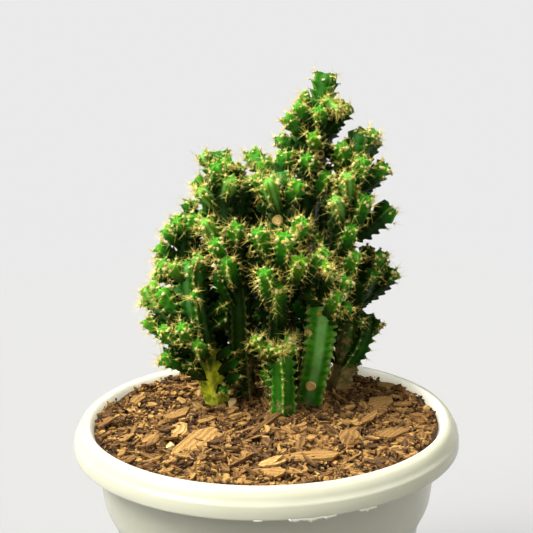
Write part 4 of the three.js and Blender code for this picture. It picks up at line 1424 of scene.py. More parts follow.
@dataclass(frozen=True)
class GrowthRule:
    """The small heads that the solids carry by rule, and those grown between them.

    Attributes:
        sag: How far a branch hangs below its straight line before it rises.
        slender: Branches slimmer than this have four ribs, others five.
        pitch: Spacing of the solids' areoles.
        share: How many of those areoles carry a head.
        length: Shortest and longest such head.
        girth: Slimmest and stoutest.
        lowest: No head grows below this height.
        heart: How many of the columns' areoles that look into the clump carry a head.
        heart_to: The share of a column above which they grow only behind it.
        heart_end: The share above which there are none.
        heart_at: Middle of the clump, from above.
        heart_length: Shortest and longest of those heads.
        heart_girth: Slimmest and stoutest of those heads.
        behind_length: Shortest and longest of the heads behind a column's upper part.
        behind: How far back their areoles must look at least.
        droop: How far down an areole with a head may look.
        facing: How straight an areole must look at the middle of the clump.
        room: Share of a new head's radius that must lie outside its neighbours.
    """

    sag: float = 0.1
    slender: float = 3.15
    pitch: float = 3.4
    share: float = 0.01
    length: tuple[float, float] = (2.6, 4.6)
    girth: tuple[float, float] = (1.6, 2.3)
    lowest: float = SOIL_LEVEL + 6.0
    heart: float = 0.5
    heart_to: float = 0.72
    heart_end: float = 0.86
    heart_at: tuple[float, float] = (4.0, 27.0)
    heart_length: tuple[float, float] = (4.0, 12.0)
    heart_girth: tuple[float, float] = (2.4, 3.5)
    behind_length: tuple[float, float] = (1.6, 3.6)
    behind: float = 0.3
    droop: float = -0.35
    facing: float = 0.35
    room: float = 0.45


class Plant:
    """The whole clump: every rooted stem's limbs, grown in a fixed order."""

    SEED = 1907
    MARKS = 9

    def __init__(self, rule: GrowthRule) -> None:
        """Lays out the columns and branches, then the small heads and the fillers.

        Args:
            rule: How the heads grow.
        """
        self.rule = rule
        self.random = np.random.default_rng(self.SEED)
        self.stems = [self.limbs_of(plan, order) for order, plan in enumerate(STEMS)]
        for order, limbs in enumerate(self.stems):
            limbs += self.ruled_heads(limbs, order)
        self.middles, self.reaches = [], []
        for limb in self.limbs():
            self.mark(limb, 0.0)
        for limbs in self.stems:
            limbs += self.crowd(limbs)
        names = [plan.name for plan in STEMS]
        for one in FILLERS:
            made = self.head(np.array(one.root), np.array(one.tip), one.radius, one.ribs, one.turn)
            self.stems[names.index(one.stem)].append(made)
        self.crowding = Crowding(self.limbs())

    def limbs(self) -> list[Limb]:
        """Every limb of the clump."""
        return [limb for limbs in self.stems for limb in limbs]

    def mark(self, limb: Limb, start: float) -> None:
        """Notes where a limb fills the air, from a share of its length on."""
        along = np.linspace(start, 1.0, self.MARKS)
        self.middles.append(limb.frames(along * limb.length)[0])
        self.reaches.append(np.full(self.MARKS, 0.8 * limb.girth[1]))

    def limbs_of(self, plan: StemPlan, order: int) -> list[Limb]:
        """The column and branches of a plan's table.

        Args:
            plan: The stem's plan.
            order: Its place among the stems.

        Returns:
            The column, then the branches in the table's order.
        """
        rule, turn = self.rule, np.radians(plan.turn)
        limbs = [Limb(np.array(plan.path), plan.girth, plan.ribs, turn, Rank.COLUMN, 0.5)]
        for k, (parent, share, tip, girth, *via) in enumerate(plan.branches):
            host = limbs[parent]
            centre = host.frames(np.array([share * host.length]))[0][0]
            end = np.array(tip, float)
            start = mix(centre, end, -0.1)
            middle = np.array(via[0], float) if via else mix(start, end, 0.5)
            middle = middle - (0.0 if via else rule.sag * np.linalg.norm(end - start)) * UP
            turn = np.radians((order * 67 + k * 41) % 90)
            ribs = 4 if girth < rule.slender else 5
            points, tint = np.stack([start, middle, end]), self.random.random()
            limbs.append(Limb(points, (0.9 * girth, girth), ribs, turn, Rank.BRANCH, tint))
        return limbs

    def ruled_heads(self, limbs: list[Limb], order: int) -> list[Limb]:
        """The small heads that the solid of a stem carries, by the same fixed draws.

        Args:
            limbs: The stem's column and branches.
            order: Its place among the stems.

        Returns:
            The heads.
        """
        rule, heads = self.rule, []
        for k, limb in enumerate(limbs):
            draws = Draws(1000 * order + 37 * k + 11)
            for rib in range(limb.ribs):
                first = rule.pitch * (0.4 + 0.5 * (rib % 2))
                for s in np.arange(first, limb.length - 0.5, rule.pitch):
                    chance, length, girth, lean, _, turn = (draws.next() for _ in range(6))
                    at, share = np.array([s]), s / limb.length
                    angle = np.array([limb.rib_angle(rib)])
                    centre, along, _, _ = (part[0] for part in limb.frames(at))
                    out = limb.outward(at, angle)[0]
                    plain = mix(*limb.girth, share)
                    closing = min((limb.length - s) / (1.2 * plain), 1.0)
                    foot = centre + out * plain * mix(0.7, 1.0, closing)
                    if foot[2] < rule.lowest or chance > rule.share * mix(0.1, 1.3, share):
                        continue
                    axis = unit(out + UP * mix(0.1, 0.7, lean) + along * 0.25)
                    radius = mix(*rule.girth, girth)
                    root = foot - out * 0.55 * limb.girth[1]
                    tip = foot + axis * mix(*rule.length, length)
                    heads.append(self.head(root, tip, radius, 3 if turn < 0.5 else 4, turn * np.pi))
        return heads

    def head(self, root: Array, tip: Array, radius: float, ribs: int, turn: float) -> Limb:
        """A small head on a straight path."""
        points = np.stack([root, mix(root, tip, 0.5), tip])
        return Limb(points, (0.8 * radius, radius), ribs, turn, Rank.HEAD, self.random.random())

    def crowd(self, limbs: list[Limb]) -> list[Limb]:
        """Heads at some areoles of a stem's column, where they find room in the clump.

        Args:
            limbs: The stem's limbs.

        Returns:
            The new heads.
        """
        rule, random, heads = self.rule, self.random, []
        for limb in limbs:
            areoles = limb.areoles()
            column = limb.rank is Rank.COLUMN
            shares = np.linalg.norm(areoles.foot - limb.line[0], axis=1) / limb.length
            for foot, out, share in zip(areoles.foot, areoles.out, shares):
                length, girth, lean, chance, turn, ribs = random.random(6)
                low = share < rule.heart_to
                deep = column and low and self.inward(foot, out)
                above = column and not low and share < rule.heart_end and out[1] > rule.behind
                shut = foot[2] < rule.lowest or out[2] < rule.droop or chance > rule.heart
                if shut or not (deep or above):
                    continue
                axis = unit(out + UP * mix(0.1, 0.9, lean) + 0.25 * (random.random(3) - 0.5))
                radius = mix(*rule.heart_girth, girth)
                reach = rule.heart_length if deep else rule.behind_length
                tip = foot + axis * mix(*reach, length)
                if self.taken(tip - axis * radius, radius):
                    continue
                root = foot - out * 0.5 * limb.girth[1]
                made = self.head(root, tip, radius, 4 if ribs < 0.7 else 5, turn * 3.0)
                made.tint = min(made.tint, 0.5) if deep else made.tint
                self.mark(made, 0.3)
                heads.append(made)
        return heads

    def inward(self, foot: Array, out: Array) -> bool:
        """True where an areole looks into the heart of the clump."""
        run = np.array([*self.rule.heart_at, foot[2]]) - foot
        return bool(run @ out > self.rule.facing * np.linalg.norm(run))

    def taken(self, place: Array, radius: float) -> bool:
        """True where another limb already fills the place."""
        gap = np.linalg.norm(np.vstack(self.middles) - place, axis=1)
        return bool(np.any(gap < np.concatenate(self.reaches) + self.rule.room * radius))

    def buried(self, areoles: Areoles) -> Array:
        """Mask of the areoles that lie inside a limb.

        Args:
            areoles: The areoles to look at.

        Returns:
            True for each one inside a limb.
        """
        middles, reaches = np.vstack(self.middles), np.concatenate(self.reaches)
        foot = areoles.foot + areoles.out * 0.4
        gap = np.linalg.norm(foot[:, None] - middles[None], axis=2)
        return np.any(gap < 0.92 * reaches, axis=1)


# ---------------------------------------------------------------- wool and spines


@dataclass(frozen=True)
class Wool:
    """Felt cushions: five-sided domes over a sunk point, sizes in cushion radii."""

    sides: int = 5
    rings: tuple[tuple[float, float], ...] = ((1.0, -0.25), (0.8, 0.34))
    top: float = 0.6
    bottom: float = -0.6
    uneven: float = 0.9

    def weave(self, shell: Shell, areoles: Areoles, random: np.random.Generator) -> None:
        """Adds a dome at each areole, each point moved a little out of true.

        Args:
            shell: Where the cushions go.
            areoles: Where they sit and how old they are.
            random: Source of the unevenness.
        """
        count = len(areoles.foot)
        rings = [upright(*ring, bearings(self.sides)) for ring in self.rings]
        shape = np.vstack([*rings, [[0.0, 0.0, self.bottom], [0.0, 0.0, self.top]]])
        jitter = 1.0 + self.uneven * (random.random((count, len(shape), 3)) - 0.5)
        size = areoles.size[:, None, None] * jitter
        side, up = across(areoles.out)
        local = shape[None] * size
        points = (
            areoles.foot[:, None]
            + local[..., :1] * side[:, None]
            + local[..., 1:2] * up[:, None]
            + local[..., 2:] * areoles.out[:, None]
        )
        faces = [copies(block, len(shape), count) for block in tube_faces(2, self.sides)]
        tint = np.repeat(random.random(count), len(shape))
        shell.add(points.reshape(-1, 3), faces, age=np.repeat(areoles.age, len(shape)), tint=tint)


@dataclass(frozen=True)
class Spines:
    """Sprays of three-sided spines.

    Attributes:
        most: Most spines that one areole has.
        length: Shortest and longest spine on a young areole.
        radius: Radius at the foot.
        spread: Greatest lean from the areole's own direction, in radians.
    """

    most: int = 9
    length: tuple[float, float] = (1.4, 5.6)
    radius: tuple[float, float] = (0.045, 0.09)
    spread: float = 1.35

    def weave(self, shell: Shell, areoles: Areoles, random: np.random.Generator) -> None:
        """Adds the sprays: fewer and shorter spines where the areole is old.

        Args:
            shell: Where the spines go.
            areoles: Where they stand and how many there are.
            random: Source of the spread.
        """
        count = len(areoles.foot)
        draws = random.random((count, self.most, 5))
        kept = draws[..., 0] < (areoles.armed * mix(0.92, 0.18, areoles.age))[:, None]
        lean = self.spread * draws[..., 1] ** 0.7
        bearing = 2.0 * np.pi * (np.arange(self.most) / self.most + 0.2 * draws[..., 2])
        side, up = across(areoles.out)
        flat = swung(side[:, None], up[:, None], bearing)
        axis = areoles.out[:, None] * np.cos(lean)[..., None] + flat * np.sin(lean)[..., None]
        reach = mix(*self.length, draws[..., 3] ** 1.6) * mix(1.0, 0.34, areoles.age)[:, None]
        foot = np.broadcast_to(areoles.foot[:, None], axis.shape)
        self.cones(shell, foot[kept], axis[kept], reach[kept], draws[..., 4][kept])

    def cones(self, shell: Shell, foot: Array, axis: Array, reach: Array, draw: Array) -> None:
        """Adds closed cones of three sides.

        Args:
            shell: Where the cones go.
            foot: Middles of their feet.
            axis: The ways they point.
            reach: Their lengths.
            draw: A draw for each, for its girth and its tint.
        """
        count = len(foot)
        side, up = across(axis)
        ring = swung(side[:, None], up[:, None], bearings(3))
        base = foot[:, None] + ring * mix(*self.radius, draw)[:, None, None]
        tip = (foot + axis * reach[:, None])[:, None]
        points = np.concatenate([base, tip], axis=1).reshape(-1, 3)
        shape = np.array([[0, 1, 3], [1, 2, 3], [2, 0, 3], [2, 1, 0]])
        along = np.tile([0.0, 0.0, 0.0, 1.0], count)
        shell.add(points, [copies(shape, 4, count)], along=along, tint=np.repeat(draw, 4))


@dataclass(frozen=True)
class Scar:
    """A round callus where a head was cut away: which stem and limb, how far along, its bearing
    round the limb from straight ahead in degrees, and its radius."""

    stem: str
    limb: int
    share: float
    bearing: float
    radius: float


SCARS = (
    Scar("right_stem", 0, 0.245, -8.0, 1.8),
    Scar("right_stem", 0, 0.7, -50.0, 1.6),
    Scar("centre_stem", 0, 0.82, -20.0, 1.7),
    Scar("middle_stem", 0, 0.72, 5.0, 1.8),
    Scar("right_tall_stem", 0, 0.62, 0.0, 1.8),
    Scar("tall_stem", 0, 0.78, 25.0, 1.5),
    Scar("rear_stem", 0, 0.5, 170.0, 1.8),
    Scar("left_rear_stem", 0, 0.6, 150.0, 1.7),
    Scar("right_back_stem", 0, 0.45, 160.0, 1.9),
)


class Stem:
    """One rooted stem's finished pieces: skin, wool and spines.

    Attributes:
        BARE: Share of the areoles deep in the clump that have lost their wool and spines.
        BARE_SHADE: Shades between which that share grows from none.
        AGED: Age given to the wool deep in the clump, greying it as painted shade, AGED_SHADE the
            shades over which it comes.
        CLEAR: Height over the mix below which there is no wool.
        SCAR_PROFILE: Reach in scar radii and rise in millimetres, over the lip to the middle.
        SCAR_SIDES: Points round a scar.
    """

    BARE, BARE_SHADE = 0.72, (0.4, 0.95)
    AGED, AGED_SHADE = 0.9, (0.25, 0.8)
    CLEAR = 1.5
    SCAR_PROFILE = ((1.0, -0.9), (1.02, 0.25), (0.86, 0.42), (0.62, 0.22), (0.34, 0.18))
    SCAR_SIDES = 20

    def __init__(self, plan: StemPlan, limbs: list[Limb], plant: Plant) -> None:
        """Takes a stem's plan and the limbs that were grown for it."""
        self.plan, self.limbs, self.plant = plan, limbs, plant

    def build(
        self, skin: bpy.types.Material, wool: bpy.types.Material, horn: bpy.types.Material
    ) -> list[Shell]:
        """Makes the stem's pieces and gives their shells.

        Args:
            skin: Finish of the limbs.
            wool: Finish of the cushions.
            horn: Finish of the spines.

        Returns:
            The shells of the skin, the wool and the spines.
        """
        body, felt, spray = Shell(), Shell(), Shell()
        for limb in self.limbs:
            limb.weave(body, self.plan, self.plant.crowding)
        areoles = Areoles.gather([limb.areoles() for limb in self.limbs])
        shade = np.maximum(self.plant.crowding.shade(areoles.foot), areoles.shade)
        bare = self.plant.random.random(len(shade)) < self.BARE * step(*self.BARE_SHADE, shade)
        # Painted shade: wool deep in the clump is aged, so greyed.
        areoles.age = np.maximum(areoles.age, self.AGED * step(*self.AGED_SHADE, shade))
        clear = areoles.foot[:, 2] > SOIL_LEVEL + self.CLEAR
        areoles = areoles.keep(~bare & ~self.plant.buried(areoles) & clear)
        Wool().weave(felt, areoles, self.plant.random)
        Spines().weave(spray, areoles, self.plant.random)
        piece = present(body.build(f"{self.plan.name}_skin", skin))
        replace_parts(piece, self.plan.name)
        present(felt.build(f"{self.plan.name}_wool", wool))
        present(spray.build(f"{self.plan.name}_spines", horn, smooth=False))
        return [body, felt, spray]

    def scars(self, shell: Shell) -> None:
        """Adds this stem's calluses: low discs with a raised lip, turned into the skin.

        Args:
            shell: Where the calluses go.
        """
        for scar in (one for one in SCARS if one.stem == self.plan.name):
            limb = self.limbs[scar.limb]
            at = np.array([scar.share * limb.length])
            centre, along, _, _ = (part[0] for part in limb.frames(at))
            ahead = np.radians(scar.bearing)
            wanted = np.array([np.sin(ahead), -np.cos(ahead), 0.15])
            out = unit(wanted - along * (wanted @ along))
            foot = centre + out * 0.86 * mix(*limb.girth, scar.share)
            angle = bearings(self.SCAR_SIDES)
            spread = 1.0 + 0.06 * np.sin(3.0 * angle + 5.0 * scar.share)
            rim = swung(*across(out[None]), angle) * spread[:, None] * scar.radius
            rings = [foot + rim * reach + out * rise for reach, rise in self.SCAR_PROFILE]
            ends = np.stack([foot - out * 1.2, foot + out * 0.2])
            reaches = np.repeat([reach for reach, _ in self.SCAR_PROFILE], self.SCAR_SIDES)
            shell.tube(np.stack(rings), ends, ridge=np.append(reaches, [1.0, 0.0]))


# ---------------------------------------------------------------- the pot


@dataclass
class Pot:
    """Round tapered pot with a stepped wall, a rolled rim and a thin flared edge.

    Each run is a stretch of the wall's outline, radius and height, drawn as one smooth curve;
    runs meet at corners. The outline goes from the middle of the underside up the outside, over
    the rim and down the inside. A tear is a strip of torn flash under the edge: its first and
    last bearing from the front, in degrees, and how far it hangs.

    Attributes:
        sides: Points round the wall, per_span and straight_span those of each piece of outline.
        sway: How far the wall is out of round, as a share of its radius.
        painted_light_from: Height inside the wall from which it gets painted light and glow,
            painted_light_to that of all.
        crease: Angle between faces, in degrees, over which an edge is drawn sharp.
    """

    runs: tuple[tuple[tuple[float, float], ...], ...] = (
        ((6.0, 0.0), (42.6, 0.0)),
        ((42.6, 0.0), (43.6, 0.3), (44.4, 1.5)),
        ((44.4, 1.5), (51.7, 64.5)),
        ((51.7, 64.5), (52.1, 68.0), (53.4, 72.0), (55.4, 76.5), (56.2, 80.0), (57.0, 88.0)),
        (
            (57.0, 88.0), (58.2, 98.0), (58.9, 101.2), (60.3, 102.0), (61.6, 100.4),
            (62.8, 97.6), (63.6, 96.9),
        ),
        ((63.6, 96.9), (64.9, 96.8)),
        ((64.9, 96.8), (65.0, 97.3), (64.9, 98.9), (64.6, 100.7)),
        (
            (64.6, 100.7), (63.9, 101.7), (63.3, 103.1), (62.4, 104.4), (61.2, 105.0),
            (60.0, 104.7), (59.1, 103.5), (58.5, 101.5),
        ),
        ((58.5, 101.5), (55.2, 87.0)),
        ((55.2, 87.0), (54.5, 80.0), (53.4, 75.5), (51.6, 71.4), (50.4, 67.5), (50.1, 64.5)),
        ((50.1, 64.5), (43.4, 3.4)),
        ((43.4, 3.4), (42.8, 2.2), (41.6, 2.0)),
        ((41.6, 2.0), (6.0, 2.0)),
    )
    sides: int = 180
    per_span: int = 4
    straight_span: int = 3
    sway: float = 0.0012
    painted_light_from: float = 88.0
    painted_light_to: float = 99.0
    crease: float = 38.0
    drain_holes: int = 5
    drain_radius: float = 4.0
    drain_circle: float = 28.0
    floor: float = 2.0
    lip_radius: float = 65.0
    lip_height: float = 97.0
    tear_steps: int = 26
    tear_thick: float = 0.22
    tears: tuple[tuple[float, float, float], ...] = (
        (5.0, 17.0, 1.5), (23.0, 28.0, 1.2), (-3.4, -1.2, 0.4),
    )

    def outline(self) -> Array:
        """The whole outline as rows of radius and height.

        Returns:
            Radius and height of each point, in order.
        """
        parts = []
        for run in self.runs:
            spans = self.per_span if len(run) > 2 else self.straight_span
            parts.append(spline(np.array(run), spans * (len(run) - 1))[:-1])
        return np.vstack([*parts, self.runs[-1][-1]])

    def shell(self) -> Shell:
        """The turned wall, closed by a point in the middle of the underside and of the floor.

        Returns:
            The wall before its drain holes are bored.
        """
        outline, angle = self.outline(), bearings(self.sides)
        radius, height = outline[:, :1], outline[:, 1:]
        sway = 1.0 + self.sway * np.sin(3.0 * angle + 0.8)
        # Painted light: the inner band of the upper wall, which the plastic lightens and makes
        # glow.
        past_top = np.arange(len(outline)) > np.argmax(height)
        painted_light = past_top * step(self.painted_light_from, self.painted_light_to, height[:, 0])
        inner = np.append(np.repeat(painted_light, self.sides), [0.0, 0.0])
        made = Shell()
        ends = np.array([[0.0, 0.0, 0.0], [0.0, 0.0, self.floor]])
        made.tube(upright(radius * sway, height, angle), ends, inner=inner)
        return made

    def torn_edge(self, start: float, end: float, drop: float) -> Shell:
        """Thin torn flash left hanging from the lip between two bearings from the front.

        Args:
            start: First bearing in degrees.
            end: Last bearing.
            drop: How far it hangs down.

        Returns:
            The strip of flash.
        """
        thick = self.tear_thick
        bearing = np.radians(np.linspace(start, end, self.tear_steps))
        share = np.linspace(0.0, 1.0, self.tear_steps)
        ragged = 0.55 + 0.3 * np.sin(17.0 * share) + 0.25 * np.sin(41.0 * share + 1.0)
        hang = drop * ragged * np.sin(np.pi * share) ** 0.4 + 0.05
        rows = []
        for inset, fall in ((0.0, 0.0), (thick, 0.0), (thick, 1.0), (0.0, 1.0)):
            radius = self.lip_radius - 0.1 - inset + 0.6 * fall
            z = self.lip_height - fall * hang + 0.1 * (1.0 - fall)
            flat = radius * np.sin(bearing), -radius * np.cos(bearing)
            rows.append(np.stack([*flat, z + 0.0 * bearing], axis=-1))
        grid = np.stack(rows, axis=1)
        made = Shell()
        made.tube(grid, np.stack([grid[0].mean(axis=0), grid[-1].mean(axis=0)]))
        return made

    def drained(self, wall: bpy.types.Object) -> None:
        """Bores the drain holes through the floor and applies the cut.

        Args:
            wall: The pot's wall, which gets the new mesh.
        """
        cutters = []
        for angle in bearings(self.drain_holes):
            middle = self.drain_circle * np.array([np.cos(angle), np.sin(angle)])
            bpy.ops.mesh.primitive_cylinder_add(
                vertices=32,
                radius=self.drain_radius * MM,
                depth=3.0 * self.floor * MM,
                location=(middle[0] * MM, middle[1] * MM, 0.5 * self.floor * MM),
            )
            cutters.append(bpy.context.object)
        for cutter in cutters:
            cut = wall.modifiers.new("drain", "BOOLEAN")
            cut.operation, cut.solver, cut.object = "DIFFERENCE", "EXACT", cutter
        graph = bpy.context.evaluated_depsgraph_get()
        mesh = bpy.data.meshes.new_from_object(wall.evaluated_get(graph))
        wall.modifiers.clear()
        wall.data = mesh
        for cutter in cutters:
            bpy.data.objects.remove(cutter)

    def build(self, plastic: bpy.types.Material) -> int:
        """Makes the pot and its torn flash and gives their triangles.

        Args:
            plastic: Finish of the pot.

        Returns:
            How many triangles the two pieces have.
        """
        wall = self.shell()
        piece = wall.build("pot_wall", plastic)
        self.drained(piece)
        piece.data.polygons.foreach_set("use_smooth", np.ones(len(piece.data.polygons), bool))
        piece.data.set_sharp_from_angle(angle=np.radians(self.crease))
        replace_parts(present(piece), "pot")
        flash = Shell()
        for tear in self.tears:
            part = self.torn_edge(*tear)
            flash.add(part.points[0], part.corners)
        present(flash.build("pot_flash", plastic))
        return wall.triangles + flash.triangles


# ---------------------------------------------------------------- the mix


@dataclass(frozen=True)
class Flakes:
    """A kind of bark piece scattered over the mix, sizes in millimetres.

    Attributes:
        count: How many.
        length: Shortest and longest.
        slim: Least and greatest width as a share of the length.
        thick: Thinnest and thickest.
        tilt: Greatest tilt from lying flat, in radians.
        tone: Darkest and palest.
        lift: Lowest and highest middle above the mix.
        skew: Power that favours the short ones.
        corners: Corners of the outline.
    """

    count: int
    length: tuple[float, float]
    slim: tuple[float, float]
    thick: tuple[float, float]
    tilt: float
    tone: tuple[float, float]
    lift: tuple[float, float]
    skew: float = 2.0
    corners: int = 6


@dataclass(frozen=True)
class Chip:
    """One large flake, listed: place, length, width, thickness, bearing, tilt and tone."""

    x: float
    y: float
    length: float
    width: float
    thick: float
    bearing: float
    tilt: float
    tone: float


@dataclass
class Soil:
    """Bark mix: an uneven bed, the flakes, crumbs and fibres strewn on it and a few large chips.

    Attributes:
        relief: How high the bed's waves are, bank how much it rises to the wall over bank_width.
        foot: Radius and height of the bed's underside, up the pot's inner wall.
        tint: The bed's own tone, 0 dark to 1 pale.
        sink: How much darker the lowest flakes are, over a height of sink_over.
        chip_lift: How far the large chips lie over the bed.
        bow: Length of a flake's shorter underside, as a share of its upper side.
    """

    SEED = 404

    sides: int = 128
    relief: float = 1.1
    bank: float = 1.8
    bank_width: float = 9.0
    foot: tuple[tuple[float, float], ...] = (
        (42.2, 2.3), (49.6, 65.8), (51.0, 71.4), (53.6, 78.0), (54.8, 87.0),
    )
    rim_radius: float = 58.2
    rings: int = 40
    tint: float = 0.16
    sink: float = 0.12
    sink_over: float = 2.0
    chip_lift: float = 1.5
    bow: float = 0.94
    kinds: tuple[Flakes, ...] = (
        Flakes(1150, (3.0, 9.0), (0.28, 0.66), (0.4, 1.0), 0.4, (0.3, 0.82), (-0.2, 1.1), 1.7),
        Flakes(2600, (1.5, 4.4), (0.3, 0.8), (0.35, 0.9), 0.6, (0.22, 0.84), (-0.2, 1.3)),
        Flakes(4600, (0.6, 1.9), (0.5, 1.0), (0.4, 0.9), 0.7, (0.12, 0.84), (-0.1, 1.4), 1.4, 4),
        Flakes(260, (4.0, 13.0), (0.04, 0.1), (0.25, 0.6), 0.12, (0.3, 0.86), (0.3, 1.1)),
    )
    chips: tuple[Chip, ...] = (
        Chip(-23.4, -22.6, 36.0, 8.0, 1.6, 63.0, 0.24, 0.72),
        Chip(-29.1, -9.4, 12.0, 7.2, 1.3, 78.0, 0.1, 0.80),
        Chip(-31.4, 3.4, 15.0, 9.0, 1.4, 66.0, -0.12, 0.62),
        Chip(13.6, -34.8, 18.6, 8.0, 1.2, -4.0, 0.12, 0.62),
        Chip(27.0, -19.6, 15.0, 8.0, 1.3, 66.0, 0.15, 0.56),
        Chip(41.4, -16.0, 18.0, 10.0, 1.4, 58.0, -0.12, 0.54),
        Chip(39.0, 3.5, 9.0, 6.0, 2.2, -35.0, 0.25, 0.42),
        Chip(42.0, 14.0, 12.0, 8.0, 1.2, 30.0, 0.15, 0.62),
        Chip(0.0, -5.6, 38.0, 2.2, 1.8, 62.0, 0.06, 0.36),
        Chip(-7.6, -36.0, 17.0, 1.8, 1.5, 52.0, 0.06, 0.40),
        Chip(-11.9, 12.7, 4.0, 3.6, 1.8, 10.0, 0.4, 0.98),
        Chip(-30.4, -24.4, 3.2, 3.0, 1.8, 30.0, 0.2, 1.0),
        Chip(-38.0, -20.0, 8.0, 4.0, 1.2, 50.0, 0.3, 0.64),
        Chip(2.0, -46.0, 8.0, 6.6, 1.0, -15.0, 0.15, 0.66),
        Chip(-47.0, 18.0, 10.0, 4.5, 1.2, 65.0, 0.2, 0.6),
        Chip(-30.0, 44.0, 12.0, 5.0, 1.3, 35.0, -0.2, 0.7),
        Chip(8.0, 53.0, 9.0, 4.0, 1.2, 0.0, 0.2, 0.5),
        Chip(46.0, 28.0, 11.0, 5.0, 1.2, -50.0, 0.2, 0.64),
    )

    def height(self, x: Array, y: Array) -> Array:
        """Mean height of the bed: three crossed waves, with finer lumps over them.

        Args:
            x: Places to the right of the middle.
            y: Places behind it.

        Returns:
            Height over the ground at each.
        """
        waves = np.sin(0.21 * x + 0.6) * np.cos(0.17 * y)
        waves = waves + 0.6 * np.sin(0.37 * y - 0.29 * x) + 0.35 * np.cos(0.63 * x + 0.51 * y)
        lumps = 0.25 * np.sin(1.3 * x + 0.7 * y) * np.cos(1.1 * y - 0.5 * x)
        bank = step(self.rim_radius - self.bank_width, self.rim_radius, np.hypot(x, y))
        return SOIL_LEVEL + 0.5 * self.relief * waves + lumps - 0.5 + self.bank * bank

    def bed(self, shell: Shell) -> None:
        """Adds the bed: closed under the surface by the pot's inner wall and floor.

        Args:
            shell: Where the bed goes.
        """
        angle = bearings(self.sides)
        rows = [upright(radius, z, angle) for radius, z in self.foot]
        for radius in self.rim_radius * np.linspace(1.0, 0.02, self.rings) ** 0.9:
            height = self.height(radius * np.cos(angle), radius * np.sin(angle))
            rows.append(upright(radius, height, angle))
        ends = np.array([[0.0, 0.0, self.foot[0][1]], [0.0, 0.0, float(self.height(0.0, 0.0))]])
        shell.tube(np.stack(rows), ends, tint=self.tint, grain=0.0)

    def strew(self, shell: Shell, kind: Flakes, random: np.random.Generator) -> None:
        """Scatters one kind of flake over the disc, clear of the wall.

        Args:
            shell: Where the flakes go.
            kind: Their count and sizes.
            random: Source of the scatter.
        """
        n = kind.count
        length = mix(*kind.length, random.random(n) ** kind.skew)
        width = length * mix(*kind.slim, random.random(n))
        reach = (self.rim_radius - 0.1 - 0.36 * length) * np.sqrt(random.random(n))
        angle = 2.0 * np.pi * random.random(n)
        x, y = reach * np.cos(angle), reach * np.sin(angle)
        tilt = kind.tilt * (2.0 * random.random((n, 2)) - 1.0) ** 3
        z = self.height(x, y) + mix(*kind.lift, random.random(n))
        z = z + 0.4 * length * np.abs(tilt[:, 0])
        low = 1.0 - (z - self.height(x, y)) / self.sink_over
        tone = mix(*kind.tone, random.random(n) ** 1.15) - self.sink * low
        spots = np.stack([x, y, z], axis=-1)
        thick = mix(*kind.thick, random.random(n))
        size = np.stack([length, width, thick], axis=-1)
        self.lay(shell, spots, size, np.pi * random.random(n), tilt, tone, random, kind.corners)

    def lay(
        self,
        shell: Shell,
        spots: Array,
        size: Array,
        bearing: Array,
        tilt: Array,
        tone: Array,
        random: np.random.Generator,
        corners: int = 6,
    ) -> None:
        """Adds flat flakes with an uneven outline, each bent a little along its length.

        Args:
            shell: Where they go.
            spots: Their middles.
            size: Length, width and thickness of each.
            bearing: Bearing of each length in radians.
            tilt: Tilt along and across each, in radians.
            tone: 0 dark to 1 pale.
            random: Source of the unevenness.
            corners: Corners of the outline.
        """
        n = len(spots)
        turn = 2.0 * np.pi * (np.arange(corners) + 0.5 * random.random((n, corners))) / corners
        u = 0.5 * size[:, :1] * np.cos(turn) * mix(0.62, 1.1, random.random((n, corners)))
        v = 0.5 * size[:, 1:2] * np.sin(turn) * mix(0.5, 1.2, random.random((n, corners)))
        bend = 0.5 * size[:, 2:] * (2.0 * random.random((n, 1)) - 1.0)
        bend = bend * (2.0 * u / size[:, :1]) ** 2
        thick = 0.5 * size[:, 2:] * mix(0.7, 1.2, random.random((n, corners)))
        along, aside = np.tan(tilt[:, :1]), np.tan(tilt[:, 1:])
        base = bend + u * along + v * aside
        low = np.stack([u * self.bow, v * self.bow, base - thick], axis=-1)
        high = np.stack([u, v, base + thick], axis=-1)
        local = np.concatenate([low, high], axis=1)
        c, s = np.cos(bearing)[:, None], np.sin(bearing)[:, None]
        x = local[..., 0] * c - local[..., 1] * s
        y = local[..., 0] * s + local[..., 1] * c
        points = np.stack([x, y, local[..., 2]], axis=-1) + spots[:, None]
        k = np.arange(corners)
        turned = (k + 1) % corners
        sides = np.stack([k, turned, turned + corners, k + corners], axis=-1)
        caps = np.stack([k[::-1], k + corners])
        faces = [copies(block, 2 * corners, n) for block in (sides, caps)]
        grain = np.repeat(7.0 * random.random(n), 2 * corners)
        grain = np.concatenate([v, v], axis=1).ravel() + grain
        shell.add(points.reshape(-1, 3), faces, tint=np.repeat(tone, 2 * corners), grain=grain)

    def build(self, bark: bpy.types.Material) -> int:
        """Makes the mix's pieces and gives their triangles.

        Args:
            bark: Finish of the mix.

        Returns:
            How many triangles the two pieces have.
        """
        random = np.random.default_rng(self.SEED)
        bed, litter = Shell(), Shell()
        self.bed(bed)
        for kind in self.kinds:
            self.strew(litter, kind, random)
        table = np.array([astuple(chip) for chip in self.chips])
        size, (x, y, bearing, tilt, tone) = table[:, 2:5], table[:, (0, 1, 5, 6, 7)].T
        spots = np.column_stack([x, y, self.height(x, y) + self.chip_lift])
        tilts = np.column_stack([0.4 * tilt, tilt])
        self.lay(litter, spots, size, np.radians(bearing), tilts, tone, random, corners=7)
        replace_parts(present(bed.build("soil_bed", bark)), "soil")
        present(litter.build("soil_bark", bark, smooth=False))
        return bed.triangles + litter.triangles


# ---------------------------------------------------------------- the studio


@dataclass(frozen=True)
class Sun:
    """A far light: its name, bearing from the front and height above the horizon, how wide it
    spreads, all in degrees, and its power."""

    name: str
    bearing: float
    height: float
    spread: float
    power: float


